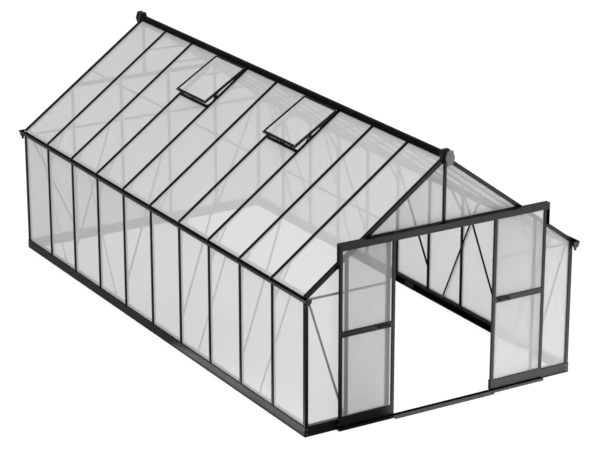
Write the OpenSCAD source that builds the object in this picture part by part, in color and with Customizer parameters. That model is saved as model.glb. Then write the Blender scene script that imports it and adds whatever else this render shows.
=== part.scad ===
// Polycarbonate greenhouse with an aluminium frame, two sliding doors and four roof windows.
// Millimetres. X runs across the gables, Y along the house with the doors towards -Y, Z up.
// The origin is on the ground, in the middle of the base.

/* [House] */
// Width over the base, without the gutters
house_w = 3100; // [2600:10:3600]
// Length over the base
house_l = 6200; // [5600:10:7000]
// Height where the roof's outer face meets the side of the base
eave_h = 1416; // [1400:1:1600]
// Height of the roof's outer faces where they meet
ridge_h = 2536; // [2400:1:2700]
// Bays along each side
side_bays = 10; // [8:1:12]
// Bays across the back gable
back_bays = 5; // [4:1:6]

/* [Base] */
// Height of the base beam
base_h = 100; // [70:1:130]
// Depth of the base beam from its outer face
base_d = 60; // [56:1:80]
// Wall of the base beam
base_t = 3; // [2:0.5:4]
// Length of the turned lips on the base beam's inner edges
base_lip = 15; // [8:1:25]

/* [Glazing bars] */
// Set-back of the frame from the outer face of the base
frame_inset = 4; // [3:1:12]
// Width of a glazing bar's outer crown
bar_w = 30; // [24:1:40]
// Depth of a glazing bar from crown to inner face
bar_d = 40; // [36:1:50]
// Height of the crown outside the sheet
crown_h = 12; // [8:1:14]
// Bevel on the crown's outer edges
crown_bevel = 3; // [1:0.5:5]
// Thickness of the web between two sheets
web_t = 6; // [4:0.5:8]
// Width of the inner flange that backs the sheets
flange_w = 24; // [20:1:30]
// Outer width of the bolt channel
stem_w = 14; // [12:1:18]
// Wall of the extrusions
wall_t = 2; // [1.5:0.1:2.5]
// Mouth of the bolt channel
channel_mouth = 6; // [5:0.5:8]
// Width of the corner posts and of the verge rafters
verge_w = 36; // [34:1:44]

/* [Sheets] */
// Thickness of the twin-wall sheet
sheet_t = 6; // [4:0.5:8]
// Play on each face of a sheet in its slot
sheet_play = 0.2; // [0.1:0.05:0.3]
// Gap between a sheet's edge and the bottom of its slot
sheet_edge = 1; // [0.5:0.5:2]
// Depth of the slots that take the sheets' edges
slot_depth = 9; // [6:0.5:10]

/* [Eaves and gutters] */
// Depth of the eave beam below the eave
eave_beam_h = 64; // [63:1:96]
// Reach of the gutter's lip beyond the base
gutter_reach = 38; // [34:1:60]
// Distance of the gutter's floor below the eave
gutter_drop = 62; // [54:1:75]
// Distance of the gutter's lip below the eave
lip_drop = 8; // [4:1:14]
// Thickness of the gutter
gutter_t = 2.5; // [2:0.1:3]
// Length of gutter that runs on past each gable
gutter_over = 60; // [40:1:90]
// Diameter of the gutter outlets
outlet_d = 28; // [24:1:34]
// Length of the outlet spigots
outlet_l = 22; // [12:1:50]

/* [Ridge] */
// Height of the ridge hood above the roof's meeting line
hood_h = 29; // [24:1:50]
// Width of the ridge hood
hood_w = 68; // [60:1:80]
// Width of the ridge box between the rafters
ridge_box_w = 40; // [30:1:46]
// Depth of the ridge box below the roof's meeting line
ridge_box_d = 75; // [70:1:90]
// Reach of the ridge end caps beyond the base
ridge_reach = 70; // [50:1:90]
// Height of the ridge end caps
cap_h = 148; // [140:1:160]
// Width of the ridge end caps
cap_w = 106; // [90:1:120]
// Height of the ridge end caps above the roof's meeting line
cap_rise = 64; // [55:1:70]

/* [Bracing] */
// Width of the flat braces
brace_w = 22; // [16:1:26]
// Thickness of the flat braces, ties and purlins
brace_t = 3; // [2:0.5:4]
// Height of the tie bars above the ground
tie_z = 1366; // [1360:1:1372]
// Width of the tie bars
tie_w = 24; // [18:1:28]
// Distance of the collar ties below the roof's meeting line
collar_drop = 218; // [180:1:300]
// Distance of the short knee braces' feet below the eave
short_knee_drop = 238; // [200:1:300]
// Reach of the short knee braces from the side of the base
short_knee_reach = 235; // [180:1:300]
// Distance of the long knee braces' feet below the eave
long_knee_drop = 1044; // [800:1:1100]
// Reach of the long knee braces from the side of the base
long_knee_reach = 486; // [400:1:600]
// Distance up the roof slope to the purlins
purlin_s = 1050; // [900:10:1150]

/* [Roof windows] */
// Bays with a roof window, counted from the front
window_bays = [3, 6];
// Length of a sash along the slope
sash_l = 600; // [480:10:640]
// Overlap of the sash past the middle of each rafter
sash_lap = 8; // [4:1:10]
// Thickness of the sash
sash_t = 16; // [14:1:20]
// Width of the sash's frame bars
sash_bar = 26; // [20:1:34]
// Angle at which the windows stand open
window_angle = 4.5; // [3:0.5:12]

/* [Doorway] */
// Distance between the middles of the two door jambs
doorway_w = 1240; // [1000:10:1240]
// Underside of the header beam above the doorway
header_z = 1842; // [1790:1:1860]
// Height of the header beams
header_h = 38; // [34:1:44]
// Height of the track's front
track_h = 66; // [60:1:72]
// Distance of the track's front before the base
track_reach = 55; // [52:1:65]
// Length of the track past each open leaf
track_spare = 12.5; // [8:0.5:40]
// Height of the bottom guide
guide_h = 28; // [22:1:30]
// Reach of the threshold before the base
ramp_reach = 85; // [75:1:110]
// Length of the threshold past each edge of the clear opening
ramp_over = 14; // [0:1:30]
// Thickness of the threshold's edges
ramp_t = 2; // [1.5:0.5:3]

/* [Doors] */
// Thickness of a door leaf
leaf_t = 25; // [22:1:28]
// Gap between the leaf and the base behind it
leaf_gap = 6; // [5.5:0.5:8]
// Width of the leaf's stiles
stile_w = 30; // [26:1:40]
// Height of the leaf's bottom rail
bottom_rail = 90; // [70:1:110]
// Height of the leaf's middle rail
middle_rail = 55; // [40:1:70]
// Underside of the middle rail above the ground
middle_rail_z = 940; // [850:10:1000]
// Height of the leaf's top rail
top_rail = 28; // [24:1:32]
// Gap between the two leaves when shut
meeting_gap = 5; // [5:1:10]
// Part of each leaf that stays in the doorway when open
leaf_reveal = 50; // [30:1:80]
// Radius of the roller on which a leaf hangs
roller_r = 8.5; // [7.5:0.5:9]

/* [Hidden] */

frame_colour = "#1b1c1e";
sheet_colour = [0.86, 0.89, 0.91, 0.45];
plastic_colour = "#26272a";

// Roof slope
half_w = house_w / 2;
half_l = house_l / 2;
roof_angle = atan((ridge_h - eave_h) / half_w);
slope_l = half_w / cos(roof_angle);
roof_start = 6;

// Bays
bay = house_l / side_bays;
back_bay = house_w / back_bays;

// Slot that takes a sheet, measured inwards from the crown
slot_w = sheet_t + 2 * sheet_play;
slot_back = crown_h + slot_w;
stem_start = slot_back + wall_t;
edge_play = web_t / 2 + sheet_edge;
sheet_in = crown_h + sheet_play;

// Feet under the rafters, and the hood's upright sides and flat top as parts of its size
ridge_foot = 12;
hood_side = 0.45;
hood_flat = 0.55;
cap_tip = 0.58;

// Running gap under the rollers
running_gap = 0.3;

// Lap of a brace's end on the member it is bolted to
brace_lap = 22;

// Inner face of the frame
frame_inner = frame_inset + bar_d;

// Grooves in the base and the eave beam
groove_floor = base_h - slot_depth;
eave_beam_z = eave_h - eave_beam_h;
groove_top = eave_beam_z + slot_depth + sheet_edge;
wall_sheet_in = frame_inset + sheet_in;

// Doors: the leaf over the guide and under the header, and the groove between the lips
leaf_over = 10;
leaf_under = 4;
rail_rise = 4;
guide_slot = 10;
opening_half = doorway_w / 2;
jamb_half = bar_w / 2;
leaf_w = opening_half - meeting_gap / 2;
leaf_outer = -opening_half + leaf_reveal - leaf_w;
track_l = 2 * (track_spare - leaf_outer);
leaf_back = -half_l - leaf_gap;
leaf_mid = leaf_back - leaf_t / 2;
leaf_bottom = guide_h + leaf_over;
track_z = header_z - (track_h - header_h) - 2;
rail_z = header_z + rail_rise;
bead_h = 4;
bead_w = 4;
roller_z = rail_z + bead_h + running_gap + roller_r;
leaf_top = header_z - leaf_under;
stud_x = half_w - (half_w - opening_half) / 2;

// A height on a plane that lies a depth below the roof's outer face
function roof_z(x, depth) = ridge_h - abs(x) * tan(roof_angle) - depth / cos(roof_angle);

// ---- placing ----

// The left side as drawn, and the right side as its mirror image
module on_side(side) {
    if (side == "left") children();
    else mirror([1, 0, 0]) children();
}

module both_sides() {
    on_side("left") children();
    on_side("right") children();
}

module both_gables() {
    children();
    mirror([0, 1, 0]) children();
}

// A wall's own axes: X inwards from the base's outer face, Y along, Z up
module wall_frame() {
    translate([-half_w, 0, 0]) children();
}

// The roof is a wall tilted about the eave line: X inwards, Y along, Z up the slope
module roof_frame() {
    translate([-half_w, 0, eave_h]) rotate([0, 90 - roof_angle, 0]) children();
}

// The half-space on the left of the ridge box, for cutting what butts against it
module left_of_ridge(gap = 0) {
    translate([-house_w, -house_l, 0])
        cube([house_w - ridge_box_w / 2 - gap, 2 * house_l, 2 * ridge_h]);
}

// The outline below both roof faces at a depth
module under_roof(depth) {
    polygon([[-half_w, 0], [half_w, 0], [half_w, roof_z(half_w, depth)],
        [0, roof_z(0, depth)], [-half_w, roof_z(half_w, depth)]]);
}

// A shape in the front gable's plane, given a thickness from a depth inwards
module gable_slab(inset, thickness) {
    translate([0, -half_l + inset + thickness, 0]) rotate([90, 0, 0])
        linear_extrude(height = thickness) children();
}

// ---- sections ----

// Crown and web of a glazing bar: X across, Y inwards from the crown
module bar_crown() {
    polygon([[-bar_w / 2, crown_bevel], [-bar_w / 2 + crown_bevel, 0],
        [bar_w / 2 - crown_bevel, 0], [bar_w / 2, crown_bevel], [bar_w / 2, crown_h],
        [web_t / 2, crown_h], [web_t / 2, slot_back], [-web_t / 2, slot_back],
        [-web_t / 2, crown_h], [-bar_w / 2, crown_h]]);
}

// Inner flange and bolt channel of a glazing bar
module bar_stem() {
    translate([-flange_w / 2, slot_back]) square([flange_w, wall_t]);
    difference() {
        translate([-stem_w / 2, slot_back]) square([stem_w, bar_d - slot_back]);
        translate([-stem_w / 2 + wall_t, stem_start])
            square([stem_w - 2 * wall_t, bar_d - stem_start - wall_t]);
        translate([-channel_mouth / 2, stem_start]) square([channel_mouth, bar_d]);
    }
}

module bar_section() {
    bar_crown();
    bar_stem();
}

// Box profile with one sheet slot, for the jambs: the slot opens towards -X
module jamb_section() {
    difference() {
        translate([-bar_w / 2, 0]) square([bar_w, bar_d]);
        translate([-bar_w / 2 - 1, crown_h]) square([slot_depth + 1, slot_w]);
        translate([-bar_w / 2 + slot_depth + wall_t, wall_t])
            square([bar_w - slot_depth - 2 * wall_t, bar_d - 2 * wall_t]);
        translate([-bar_w / 2 + wall_t, slot_back + wall_t])
            square([bar_w - 2 * wall_t, bar_d - slot_back - 2 * wall_t]);
    }
}

// Box profile of a corner post with two sheet slots: X and Y inwards from the outer corner
module corner_section() {
    difference() {
        square([verge_w, verge_w]);
        translate([crown_h, verge_w - slot_depth]) square([slot_w, slot_depth + 1]);
        translate([verge_w - slot_depth, crown_h]) square([slot_depth + 1, slot_w]);
        translate([wall_t, wall_t]) square([crown_h - 2 * wall_t, verge_w - 2 * wall_t]);
        translate([wall_t, wall_t]) square([verge_w - 2 * wall_t, crown_h - 2 * wall_t]);
    }
}

// Verge rafter: X along the house from its outer face, Y inwards from the roof's outer face
module verge_section() {
    difference() {
        square([verge_w, bar_d]);
        translate([verge_w - slot_depth, crown_h]) square([slot_depth + 1, slot_w]);
        translate([crown_h, bar_d - slot_depth]) square([slot_w, slot_depth + 1]);
        translate([wall_t, wall_t]) square([verge_w - 2 * wall_t, crown_h - 2 * wall_t]);
        translate([wall_t, wall_t]) square([crown_h - 2 * wall_t, bar_d - 2 * wall_t]);
    }
}

// Base beam: X inwards, Y up, with the groove for the sheets in its top
module base_section() {
    near = frame_inset + crown_h;
    far = near + slot_w;
    floor_z = groove_floor;
    polygon([[0, 0], [0, base_h], [near, base_h], [near, floor_z], [far, floor_z],
        [far, base_h], [base_d, base_h], [base_d, base_h - base_lip],
        [base_d - base_t, base_h - base_lip], [base_d - base_t, base_h - base_t],
        [far + base_t, base_h - base_t], [far + base_t, floor_z - base_t],
        [near - base_t, floor_z - base_t], [near - base_t, base_h - base_t],
        [base_t, base_h - base_t], [base_t, base_t], [base_d - base_t, base_t],
        [base_d - base_t, base_lip], [base_d, base_lip], [base_d, 0]]);
}

// Eave beam: X inwards, Y up, with a sloped top under the rafters and a groove below
module eave_section() {
    near = frame_inset;
    far = frame_inset + bar_d;
    top_depth = slot_back + sheet_play;
    groove_near = near + crown_h;
    groove_far = groove_near + slot_w;
    difference() {
        polygon([[near, eave_beam_z], [near, roof_z(half_w - near, top_depth)],
            [far, roof_z(half_w - far, top_depth)], [far, eave_beam_z]]);
        translate([groove_near, eave_beam_z - 1])
            square([slot_w, groove_top - eave_beam_z + 1]);
        polygon([[near + wall_t, groove_top + wall_t],
            [near + wall_t, roof_z(half_w - near - wall_t, top_depth + wall_t)],
            [far - wall_t, roof_z(half_w - far + wall_t, top_depth + wall_t)],
            [far - wall_t, eave_beam_z + wall_t], [groove_far + wall_t, eave_beam_z + wall_t],
            [groove_far + wall_t, groove_top + wall_t]]);
    }
}

// Corners of the gutter's floor and front: X inwards, Y up
lip_z = eave_h - lip_drop;
gutter_floor_z = eave_h - gutter_drop;
floor_edge = -5;
bend_out = 24;
bend_rise = 21;
bend = [-bend_out, gutter_floor_z + bend_rise];

module gutter_floor_section() {
    polygon([[frame_inset, gutter_floor_z], [floor_edge, gutter_floor_z],
        [floor_edge + 1, gutter_floor_z + gutter_t], [frame_inset, gutter_floor_z + gutter_t]]);
}

module gutter_front_section() {
    polygon([[floor_edge, gutter_floor_z], bend, [-gutter_reach, lip_z],
        [-gutter_reach + gutter_t, lip_z], [bend[0] + gutter_t, bend[1] + 1],
        [floor_edge + 1, gutter_floor_z + gutter_t]]);
}

// A closed end for the trough, with its own back
module trough_section() {
    back_z = lip_z - 16;
    polygon([[frame_inset, back_z], [frame_inset, gutter_floor_z], [floor_edge, gutter_floor_z],
        bend, [-gutter_reach, lip_z], [-gutter_reach + gutter_t, lip_z],
        [bend[0] + gutter_t, bend[1] + 1], [floor_edge + 1, gutter_floor_z + gutter_t],
        [frame_inset - gutter_t, gutter_floor_z + gutter_t], [frame_inset - gutter_t, back_z]]);
}

// ---- base ----

module mitred_beam(length) {
    intersection() {
        rotate([90, 0, 0]) translate([0, 0, -length / 2])
            linear_extrude(height = length) base_section();
        linear_extrude(height = base_h)
            polygon([[0, -length / 2], [base_d, -length / 2 + base_d],
                [base_d, length / 2 - base_d], [0, length / 2]]);
    }
}

module base_side(side) {
    color(frame_colour) on_side(side) wall_frame() mitred_beam(house_l);
}

module base_gable_beam() {
    translate([0, -half_l, 0]) rotate([0, 0, 90]) mitred_beam(house_w);
}

module base_back() {
    color(frame_colour) mirror([0, 1, 0]) base_gable_beam();
}

// Outline of the base beam's end, for the plates that close its cut ends
module base_outline() {
    near = frame_inset + crown_h;
    polygon([[0, 0], [0, base_h], [near, base_h], [near, groove_floor],
        [near + slot_w, groove_floor], [near + slot_w, base_h], [base_d, base_h],
        [base_d, 0]]);
}

// The front beam is cut out between the jambs, and a plate closes each cut end
module base_front() {
    stop = opening_half - jamb_half;
    color(frame_colour) {
        difference() {
            base_gable_beam();
            translate([-stop, -half_l - 1, -1]) cube([2 * stop, base_d + 2, base_h + 2]);
        }
        both_sides() translate([-stop - base_t, -half_l, 0]) rotate([90, 0, 90])
            linear_extrude(height = base_t) base_outline();
    }
}

// ---- frame ----

module corner_posts() {
    color(frame_colour) both_sides() both_gables() intersection() {
        translate([-half_w + frame_inset, -half_l + frame_inset, base_h])
            linear_extrude(height = eave_h) corner_section();
        gable_slab(0, base_d + verge_w) under_roof(bar_d);
    }
}

module wall_posts() {
    color(frame_colour) both_sides() wall_frame()
        for (k = [1 : side_bays - 1])
            translate([frame_inset, -half_l + k * bay, base_h]) rotate([0, 0, -90])
                linear_extrude(height = eave_beam_z - base_h) bar_section();
}

module eave_beams() {
    length = house_l - 2 * (frame_inset + verge_w);
    color(frame_colour) both_sides() wall_frame()
        rotate([90, 0, 0]) translate([0, 0, -length / 2])
            linear_extrude(height = length) eave_section();
}

// A rafter stands on the eave beam, with only its crown and web over it
module rafters(side) {
    color(frame_colour) on_side(side)
        for (k = [1 : side_bays - 1]) intersection() {
            union() {
                roof_frame() translate([0, -half_l + k * bay, roof_start]) rotate([0, 0, -90])
                    linear_extrude(height = slope_l) bar_crown();
                intersection() {
                    roof_frame() translate([0, -half_l + k * bay, 0]) rotate([0, 0, -90])
                        linear_extrude(height = slope_l) bar_stem();
                    translate([-half_w + frame_inner, -half_l, 0])
                        cube([house_w, house_l, 2 * ridge_h]);
                }
            }
            left_of_ridge();
        }
}

module verge_rafters() {
    color(frame_colour) both_gables() both_sides() intersection() {
        roof_frame() translate([0, -half_l + frame_inset, roof_start]) rotate([0, 0, -90])
            mirror([1, 0, 0]) linear_extrude(height = slope_l) verge_section();
        left_of_ridge();
    }
}

// A right half outline, from bottom to top, closed by its mirror image
function both_halves(points) =
    concat(points, [for (i = [len(points) - 1 : -1 : 0]) [-points[i][0], points[i][1]]]);

// Ridge extrusion: a box between the rafters, a hood over their ends, a foot under each
module ridge_section() {
    box = ridge_box_w / 2;
    hood = hood_w / 2;
    foot = box + ridge_foot;
    t = wall_t;
    eave = hood_h * hood_side;
    flat = hood * hood_flat;
    function below(x, depth) = roof_z(x, depth) - ridge_h;
    translate([0, ridge_h]) difference() {
        polygon(both_halves([[box, -ridge_box_d], [box, below(box, bar_d + 2 * t)],
            [foot, below(foot, bar_d + t)], [foot, below(foot, bar_d)],
            [box, below(box, bar_d)], [box, 0], [hood - t, 0], [hood - t, below(hood - t, 0)],
            [hood, below(hood, 0)], [hood, eave], [flat, hood_h]]));
        polygon(both_halves([[box - t, t - ridge_box_d], [box - t, -t]]));
        polygon(both_halves([[hood - t, t], [hood - t, eave - t / 2],
            [flat - t / 2, hood_h - t]]));
    }
}

module ridge_beam() {
    length = house_l - 2 * frame_inset;
    color(frame_colour) rotate([90, 0, 0]) translate([0, 0, -length / 2])
        linear_extrude(height = length) ridge_section();
}

module cap_outline(inset = 0) {
    w = cap_w / 2 - inset;
    low = cap_rise - cap_h + inset;
    high = cap_rise - inset;
    tip = w * cap_tip;
    translate([0, ridge_h])
        polygon(both_halves([[tip, low], [w, (low + high) / 2], [tip, high]]));
}

// Hollow caps that close the ridge's ends and lap over its hood
module ridge_caps() {
    lap = 24;
    length = ridge_reach + frame_inset + lap;
    color(plastic_colour) both_gables() difference() {
        gable_slab(-ridge_reach, length) cap_outline();
        gable_slab(-ridge_reach + gutter_t, length) cap_outline(gutter_t);
        gable_slab(frame_inset, 2 * lap) under_roof(0);
    }
}

// ---- gables ----

module gable_bar(x, low, high) {
    translate([x, -half_l + frame_inset, low]) linear_extrude(height = high - low) bar_section();
}

module king_stud() {
    gable_bar(0, header_z + header_h, ridge_h - ridge_box_d);
}

module front_studs() {
    both_sides() {
        intersection() {
            gable_bar(-stud_x, base_h, ridge_h);
            gable_slab(0, base_d) under_roof(bar_d);
        }
        translate([-opening_half, -half_l + frame_inset, base_h])
            linear_extrude(height = header_z - base_h) jamb_section();
    }
    king_stud();
}

// The middle studs of the back gable stop under its header
module back_studs() {
    intersection() {
        for (k = [1 : back_bays - 1]) let (x = -half_w + k * back_bay)
            gable_bar(x, base_h,
                roof_z(abs(x) + bar_w, bar_d) > header_z ? header_z : ridge_h);
        gable_slab(0, base_d) under_roof(bar_d);
    }
    king_stud();
}

module gable_studs() {
    color(frame_colour) {
        front_studs();
        mirror([0, 1, 0]) back_studs();
    }
}

// Header beam across a gable, cut to the slope of the verge rafters
module gable_header() {
    intersection() {
        translate([-half_w, -half_l + frame_inset, header_z]) difference() {
            cube([house_w, verge_w, header_h]);
            translate([-1, crown_h, -1]) cube([house_w + 2, slot_w, slot_depth + 1]);
            translate([-1, crown_h, header_h - slot_depth])
                cube([house_w + 2, slot_w, slot_depth + 1]);
            translate([-1, wall_t, wall_t])
                cube([house_w + 2, crown_h - 2 * wall_t, header_h - 2 * wall_t]);
        }
        gable_slab(0, base_d) under_roof(bar_d);
    }
}

module gable_headers() {
    color(frame_colour) both_gables() gable_header();
}

// ---- bracing ----

// Flat bar between two points of the X-Z plane, from a Y inwards
module flat_xz(from, to, y) {
    run = to - from;
    translate([0, y + brace_t, 0]) rotate([90, 0, 0]) linear_extrude(height = brace_t)
        translate(from) rotate(atan2(run[1], run[0])) translate([0, -brace_w / 2])
            square([norm(run), brace_w]);
}

// Flat bar between two points of the Y-Z plane, from an X inwards
module flat_yz(from, to, x) {
    run = to - from;
    translate([x, 0, 0]) rotate([90, 0, 90]) linear_extrude(height = brace_t)
        translate(from) rotate(atan2(run[1], run[0])) translate([0, -brace_w / 2])
            square([norm(run), brace_w]);
}

module tie_bars() {
    reach = half_w - frame_inner;
    color(frame_colour) {
        both_sides() gable_slab(frame_inner, brace_t)
            translate([-reach, tie_z - tie_w / 2])
                square([reach - opening_half + jamb_half, tie_w]);
        mirror([0, 1, 0]) gable_slab(frame_inner, brace_t)
            translate([-reach, tie_z - tie_w / 2]) square([2 * reach, tie_w]);
    }
}

// A collar tie on the side of each rafter pair's bolt channels
module collar_ties() {
    collar_z = ridge_h - collar_drop;
    reach = (collar_drop - brace_w / 2) / tan(roof_angle) - stem_start / sin(roof_angle);
    color(frame_colour)
        for (k = [1 : side_bays - 1])
            translate([0, -half_l + k * bay + stem_w / 2, 0])
                flat_xz([-reach, collar_z], [reach, collar_z], 0);
}

// Knee braces from post to rafter: short ones on the odd frames, long ones on the even
module knee_braces() {
    post_x = -half_w + frame_inner - brace_w / 3;
    head_depth = bar_d - brace_w / 4;
    short_head = half_w - short_knee_reach;
    long_head = half_w - long_knee_reach;
    color(frame_colour) both_sides()
        for (k = [1 : side_bays - 1])
            translate([0, -half_l + k * bay + stem_w / 2, 0])
                if (k % 2 == 1)
                    flat_xz([post_x, eave_h - short_knee_drop],
                        [-short_head, roof_z(short_head, head_depth)], 0);
                else
                    flat_xz([post_x, eave_h - long_knee_drop],
                        [-long_head, roof_z(long_head, head_depth)], 0);
}

// Wall braces lean outwards, from the base up to the eave beam, past one post each
module wall_braces() {
    low = base_h + brace_w / 2;
    high = eave_beam_z + brace_lap;
    x = -half_w + frame_inner;
    color(frame_colour) both_sides() both_gables()
        for (k = [0.5, 2.5])
            flat_yz([-half_l + k * bay, high], [-half_l + (k + 1) * bay, low], x);
}

// Gable braces run from the eave corners down to the feet of the first studs
module gable_braces() {
    high = [-half_w + frame_inner + brace_lap, tie_z - tie_w / 2 - brace_w / 2];
    low = base_h + brace_w / 2;
    aside = stem_w / 2;
    y = -half_l + frame_inner;
    color(frame_colour) both_sides() {
        flat_xz(high, [-stud_x - aside, low], y);
        mirror([0, 1, 0]) flat_xz(high, [-half_w + back_bay - aside, low], y);
    }
}

// Purlins run under the rafters and stop at the bays with windows
purlin_runs = [[0, window_bays[0]], [window_bays[0] + 1, window_bays[1]],
    [window_bays[1] + 1, side_bays]];
module purlins() {
    color(frame_colour) both_sides() roof_frame()
        for (run = purlin_runs)
            translate([bar_d, -half_l + max(run[0] * bay, frame_inner), purlin_s - brace_w / 2])
                cube([brace_t,
                    min(run[1] * bay, house_l - frame_inner) - max(run[0] * bay, frame_inner),
                    brace_w]);
}

// ---- gutters ----

module along_eaves() {
    both_sides() wall_frame() rotate([90, 0, 0]) translate([0, 0, -half_l])
        linear_extrude(height = house_l) children();
}

module gutter_floors() {
    color(frame_colour) along_eaves() gutter_floor_section();
}

module gutter_fronts() {
    color(frame_colour) along_eaves() gutter_front_section();
}

outlet_x = -4;
hopper_h = 20;
end_plate_w = 38;
end_plate_low = 20;
hopper_short = 8;
hopper_shoulder = 2;
hopper_back = 10;

// Carries the gutter on past the gable, closes its end and holds the outlet below
module gutter_end() {
    middle = -half_l - gutter_over / 2;
    hopper_top = gutter_floor_z;
    hopper_low = gutter_floor_z - hopper_h;
    wide = gutter_over - hopper_short;
    r_out = outlet_d / 2;
    neck = r_out + hopper_shoulder;
    difference() {
        union() {
            translate([0, -half_l, 0]) rotate([90, 0, 0])
                linear_extrude(height = gutter_over) trough_section();
            translate([0, -half_l - gutter_over + gutter_t, 0]) rotate([90, 0, 0])
                linear_extrude(height = gutter_t)
                    polygon([[-gutter_reach, lip_z], bend,
                        [outlet_x - neck, hopper_low], [outlet_x + neck, hopper_low],
                        [end_plate_w, hopper_top + end_plate_low], [end_plate_w, lip_z]]);
            translate([0, -half_l - gutter_over + wide, 0]) rotate([90, 0, 0])
                linear_extrude(height = wide)
                    polygon([bend, [outlet_x - neck, hopper_low],
                        [outlet_x + neck, hopper_low],
                        [frame_inset + hopper_back, hopper_top],
                        [frame_inset, hopper_top + gutter_t / 2],
                        [floor_edge + 1, hopper_top + gutter_t / 2]]);
            translate([outlet_x, middle, hopper_low - outlet_l])
                cylinder(h = outlet_l + 1, r = r_out);
        }
        translate([outlet_x, middle, hopper_low - outlet_l - 1])
            cylinder(h = hopper_h + outlet_l + 10, r = r_out - gutter_t);
    }
}

module gutter_ends() {
    color(plastic_colour) both_sides() both_gables() wall_frame() gutter_end();
}

// ---- sheets ----

module wall_sheets(side) {
    color(sheet_colour) on_side(side) wall_frame()
        for (k = [0 : side_bays - 1]) {
            low = k == 0 ? frame_inset + verge_w - slot_depth + sheet_edge : k * bay + edge_play;
            high = k == side_bays - 1
                ? house_l - frame_inset - verge_w + slot_depth - sheet_edge
                : (k + 1) * bay - edge_play;
            translate([wall_sheet_in, -half_l + low, groove_floor + sheet_play])
                cube([sheet_t, high - low, groove_top - groove_floor - 2 * sheet_edge]);
        }
}

function has_window(k) = len(search(k, window_bays)) > 0;
sash_clear = 2;
hinge_s = (half_w - hood_w / 2) / cos(roof_angle) - sash_clear;
sill_gap = 10;
sill_w = 30;
sill_s = hinge_s - sash_l - sill_gap;
stay_w = 14;
stay_t = 4;

module roof_sheets(side) {
    color(sheet_colour) on_side(side)
        for (k = [0 : side_bays - 1]) {
            low = k == 0 ? frame_inset + verge_w - slot_depth + sheet_edge : k * bay + edge_play;
            high = k == side_bays - 1
                ? house_l - frame_inset - verge_w + slot_depth - sheet_edge
                : (k + 1) * bay - edge_play;
            top = has_window(k) ? sill_s + slot_depth - sheet_edge : slope_l;
            intersection() {
                roof_frame() translate([sheet_in, -half_l + low, roof_start])
                    cube([sheet_t, high - low, top - roof_start]);
                left_of_ridge(sheet_edge);
            }
        }
}

// A sheet of the gable between two uprights, cut to the roof
module gable_sheet(left, right, low, high) {
    gable_slab(frame_inset + sheet_in, sheet_t) intersection() {
        translate([left, low]) square([right - left, high - low]);
        under_roof(bar_d - slot_depth + sheet_edge);
    }
}

foot_z = groove_floor + sheet_play;
header_seat = header_z + slot_depth - sheet_edge;
corner_seat = -half_w + frame_inset + verge_w - slot_depth + sheet_edge;
upper_seat = header_z + header_h - slot_depth + sheet_play;

module upper_sheets() {
    gable_sheet(-half_w, -edge_play, upper_seat, ridge_h - ridge_box_d - sheet_edge);
}

module front_gable_sheets() {
    jamb_seat = -opening_half - jamb_half + slot_depth - sheet_edge;
    color(sheet_colour) both_sides() {
        gable_sheet(corner_seat, -stud_x - edge_play, foot_z, ridge_h);
        gable_sheet(-stud_x + edge_play, jamb_seat, foot_z, header_seat);
        upper_sheets();
    }
}

module back_gable_sheets() {
    color(sheet_colour) mirror([0, 1, 0]) {
        for (k = [0 : back_bays - 1])
            gable_sheet(k == 0 ? corner_seat : -half_w + k * back_bay + edge_play,
                k == back_bays - 1 ? -corner_seat : -half_w + (k + 1) * back_bay - edge_play,
                foot_z, header_seat);
        both_sides() upper_sheets();
    }
}

// ---- roof windows ----

module window_places() {
    both_sides() for (k = window_bays)
        roof_frame() translate([0, -half_l + k * bay, 0]) children();
}

// The cross bar that carries the foot of the sash and the top of the sheet below it
module window_sills() {
    color(frame_colour) window_places()
        translate([0, bar_w / 2, sill_s]) difference() {
            cube([stem_start, bay - bar_w, sill_w]);
            translate([crown_h, -1, -1]) cube([slot_w, bay, slot_depth + 1]);
        }
}

// Turns a closed sash about its hinge under the ridge hood
module opened() {
    translate([-sash_t / 2 - sash_clear, 0, hinge_s]) rotate([0, window_angle, 0])
        translate([sash_t / 2 + sash_clear, 0, -hinge_s]) children();
}

module window_sashes() {
    width = bay + 2 * sash_lap;
    color(frame_colour) window_places() opened()
        translate([-sash_t - sash_clear, -sash_lap, hinge_s - sash_l]) difference() {
            cube([sash_t, width, sash_l]);
            translate([-1, sash_bar, sash_bar])
                cube([sash_t + 2, width - 2 * sash_bar, sash_l - 2 * sash_bar]);
            translate([(sash_t - slot_w) / 2, sash_bar - slot_depth, sash_bar - slot_depth])
                cube([slot_w, width - 2 * (sash_bar - slot_depth),
                    sash_l - 2 * (sash_bar - slot_depth)]);
        }
}

module window_sheets() {
    width = bay + 2 * sash_lap;
    edge = sash_bar - slot_depth + sheet_edge;
    color(sheet_colour) window_places() opened()
        translate([-sash_clear - (sash_t + sheet_t) / 2, -sash_lap + edge,
            hinge_s - sash_l + edge])
            cube([sheet_t, width - 2 * edge, sash_l - 2 * edge]);
}

// A flat stay stands on each sill and props the sash up at its foot
module window_stays() {
    color(frame_colour) window_places() difference() {
        translate([-sash_l, (bay - stay_w) / 2, sill_s + sill_w / 2 - stay_t])
            cube([sash_l, stay_w, stay_t]);
        opened() translate([-2 * sash_l, -bay, -sash_l])
            cube([2 * sash_l - sash_clear, 3 * bay, 2 * slope_l]);
    }
}

// ---- doorway ----

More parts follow.
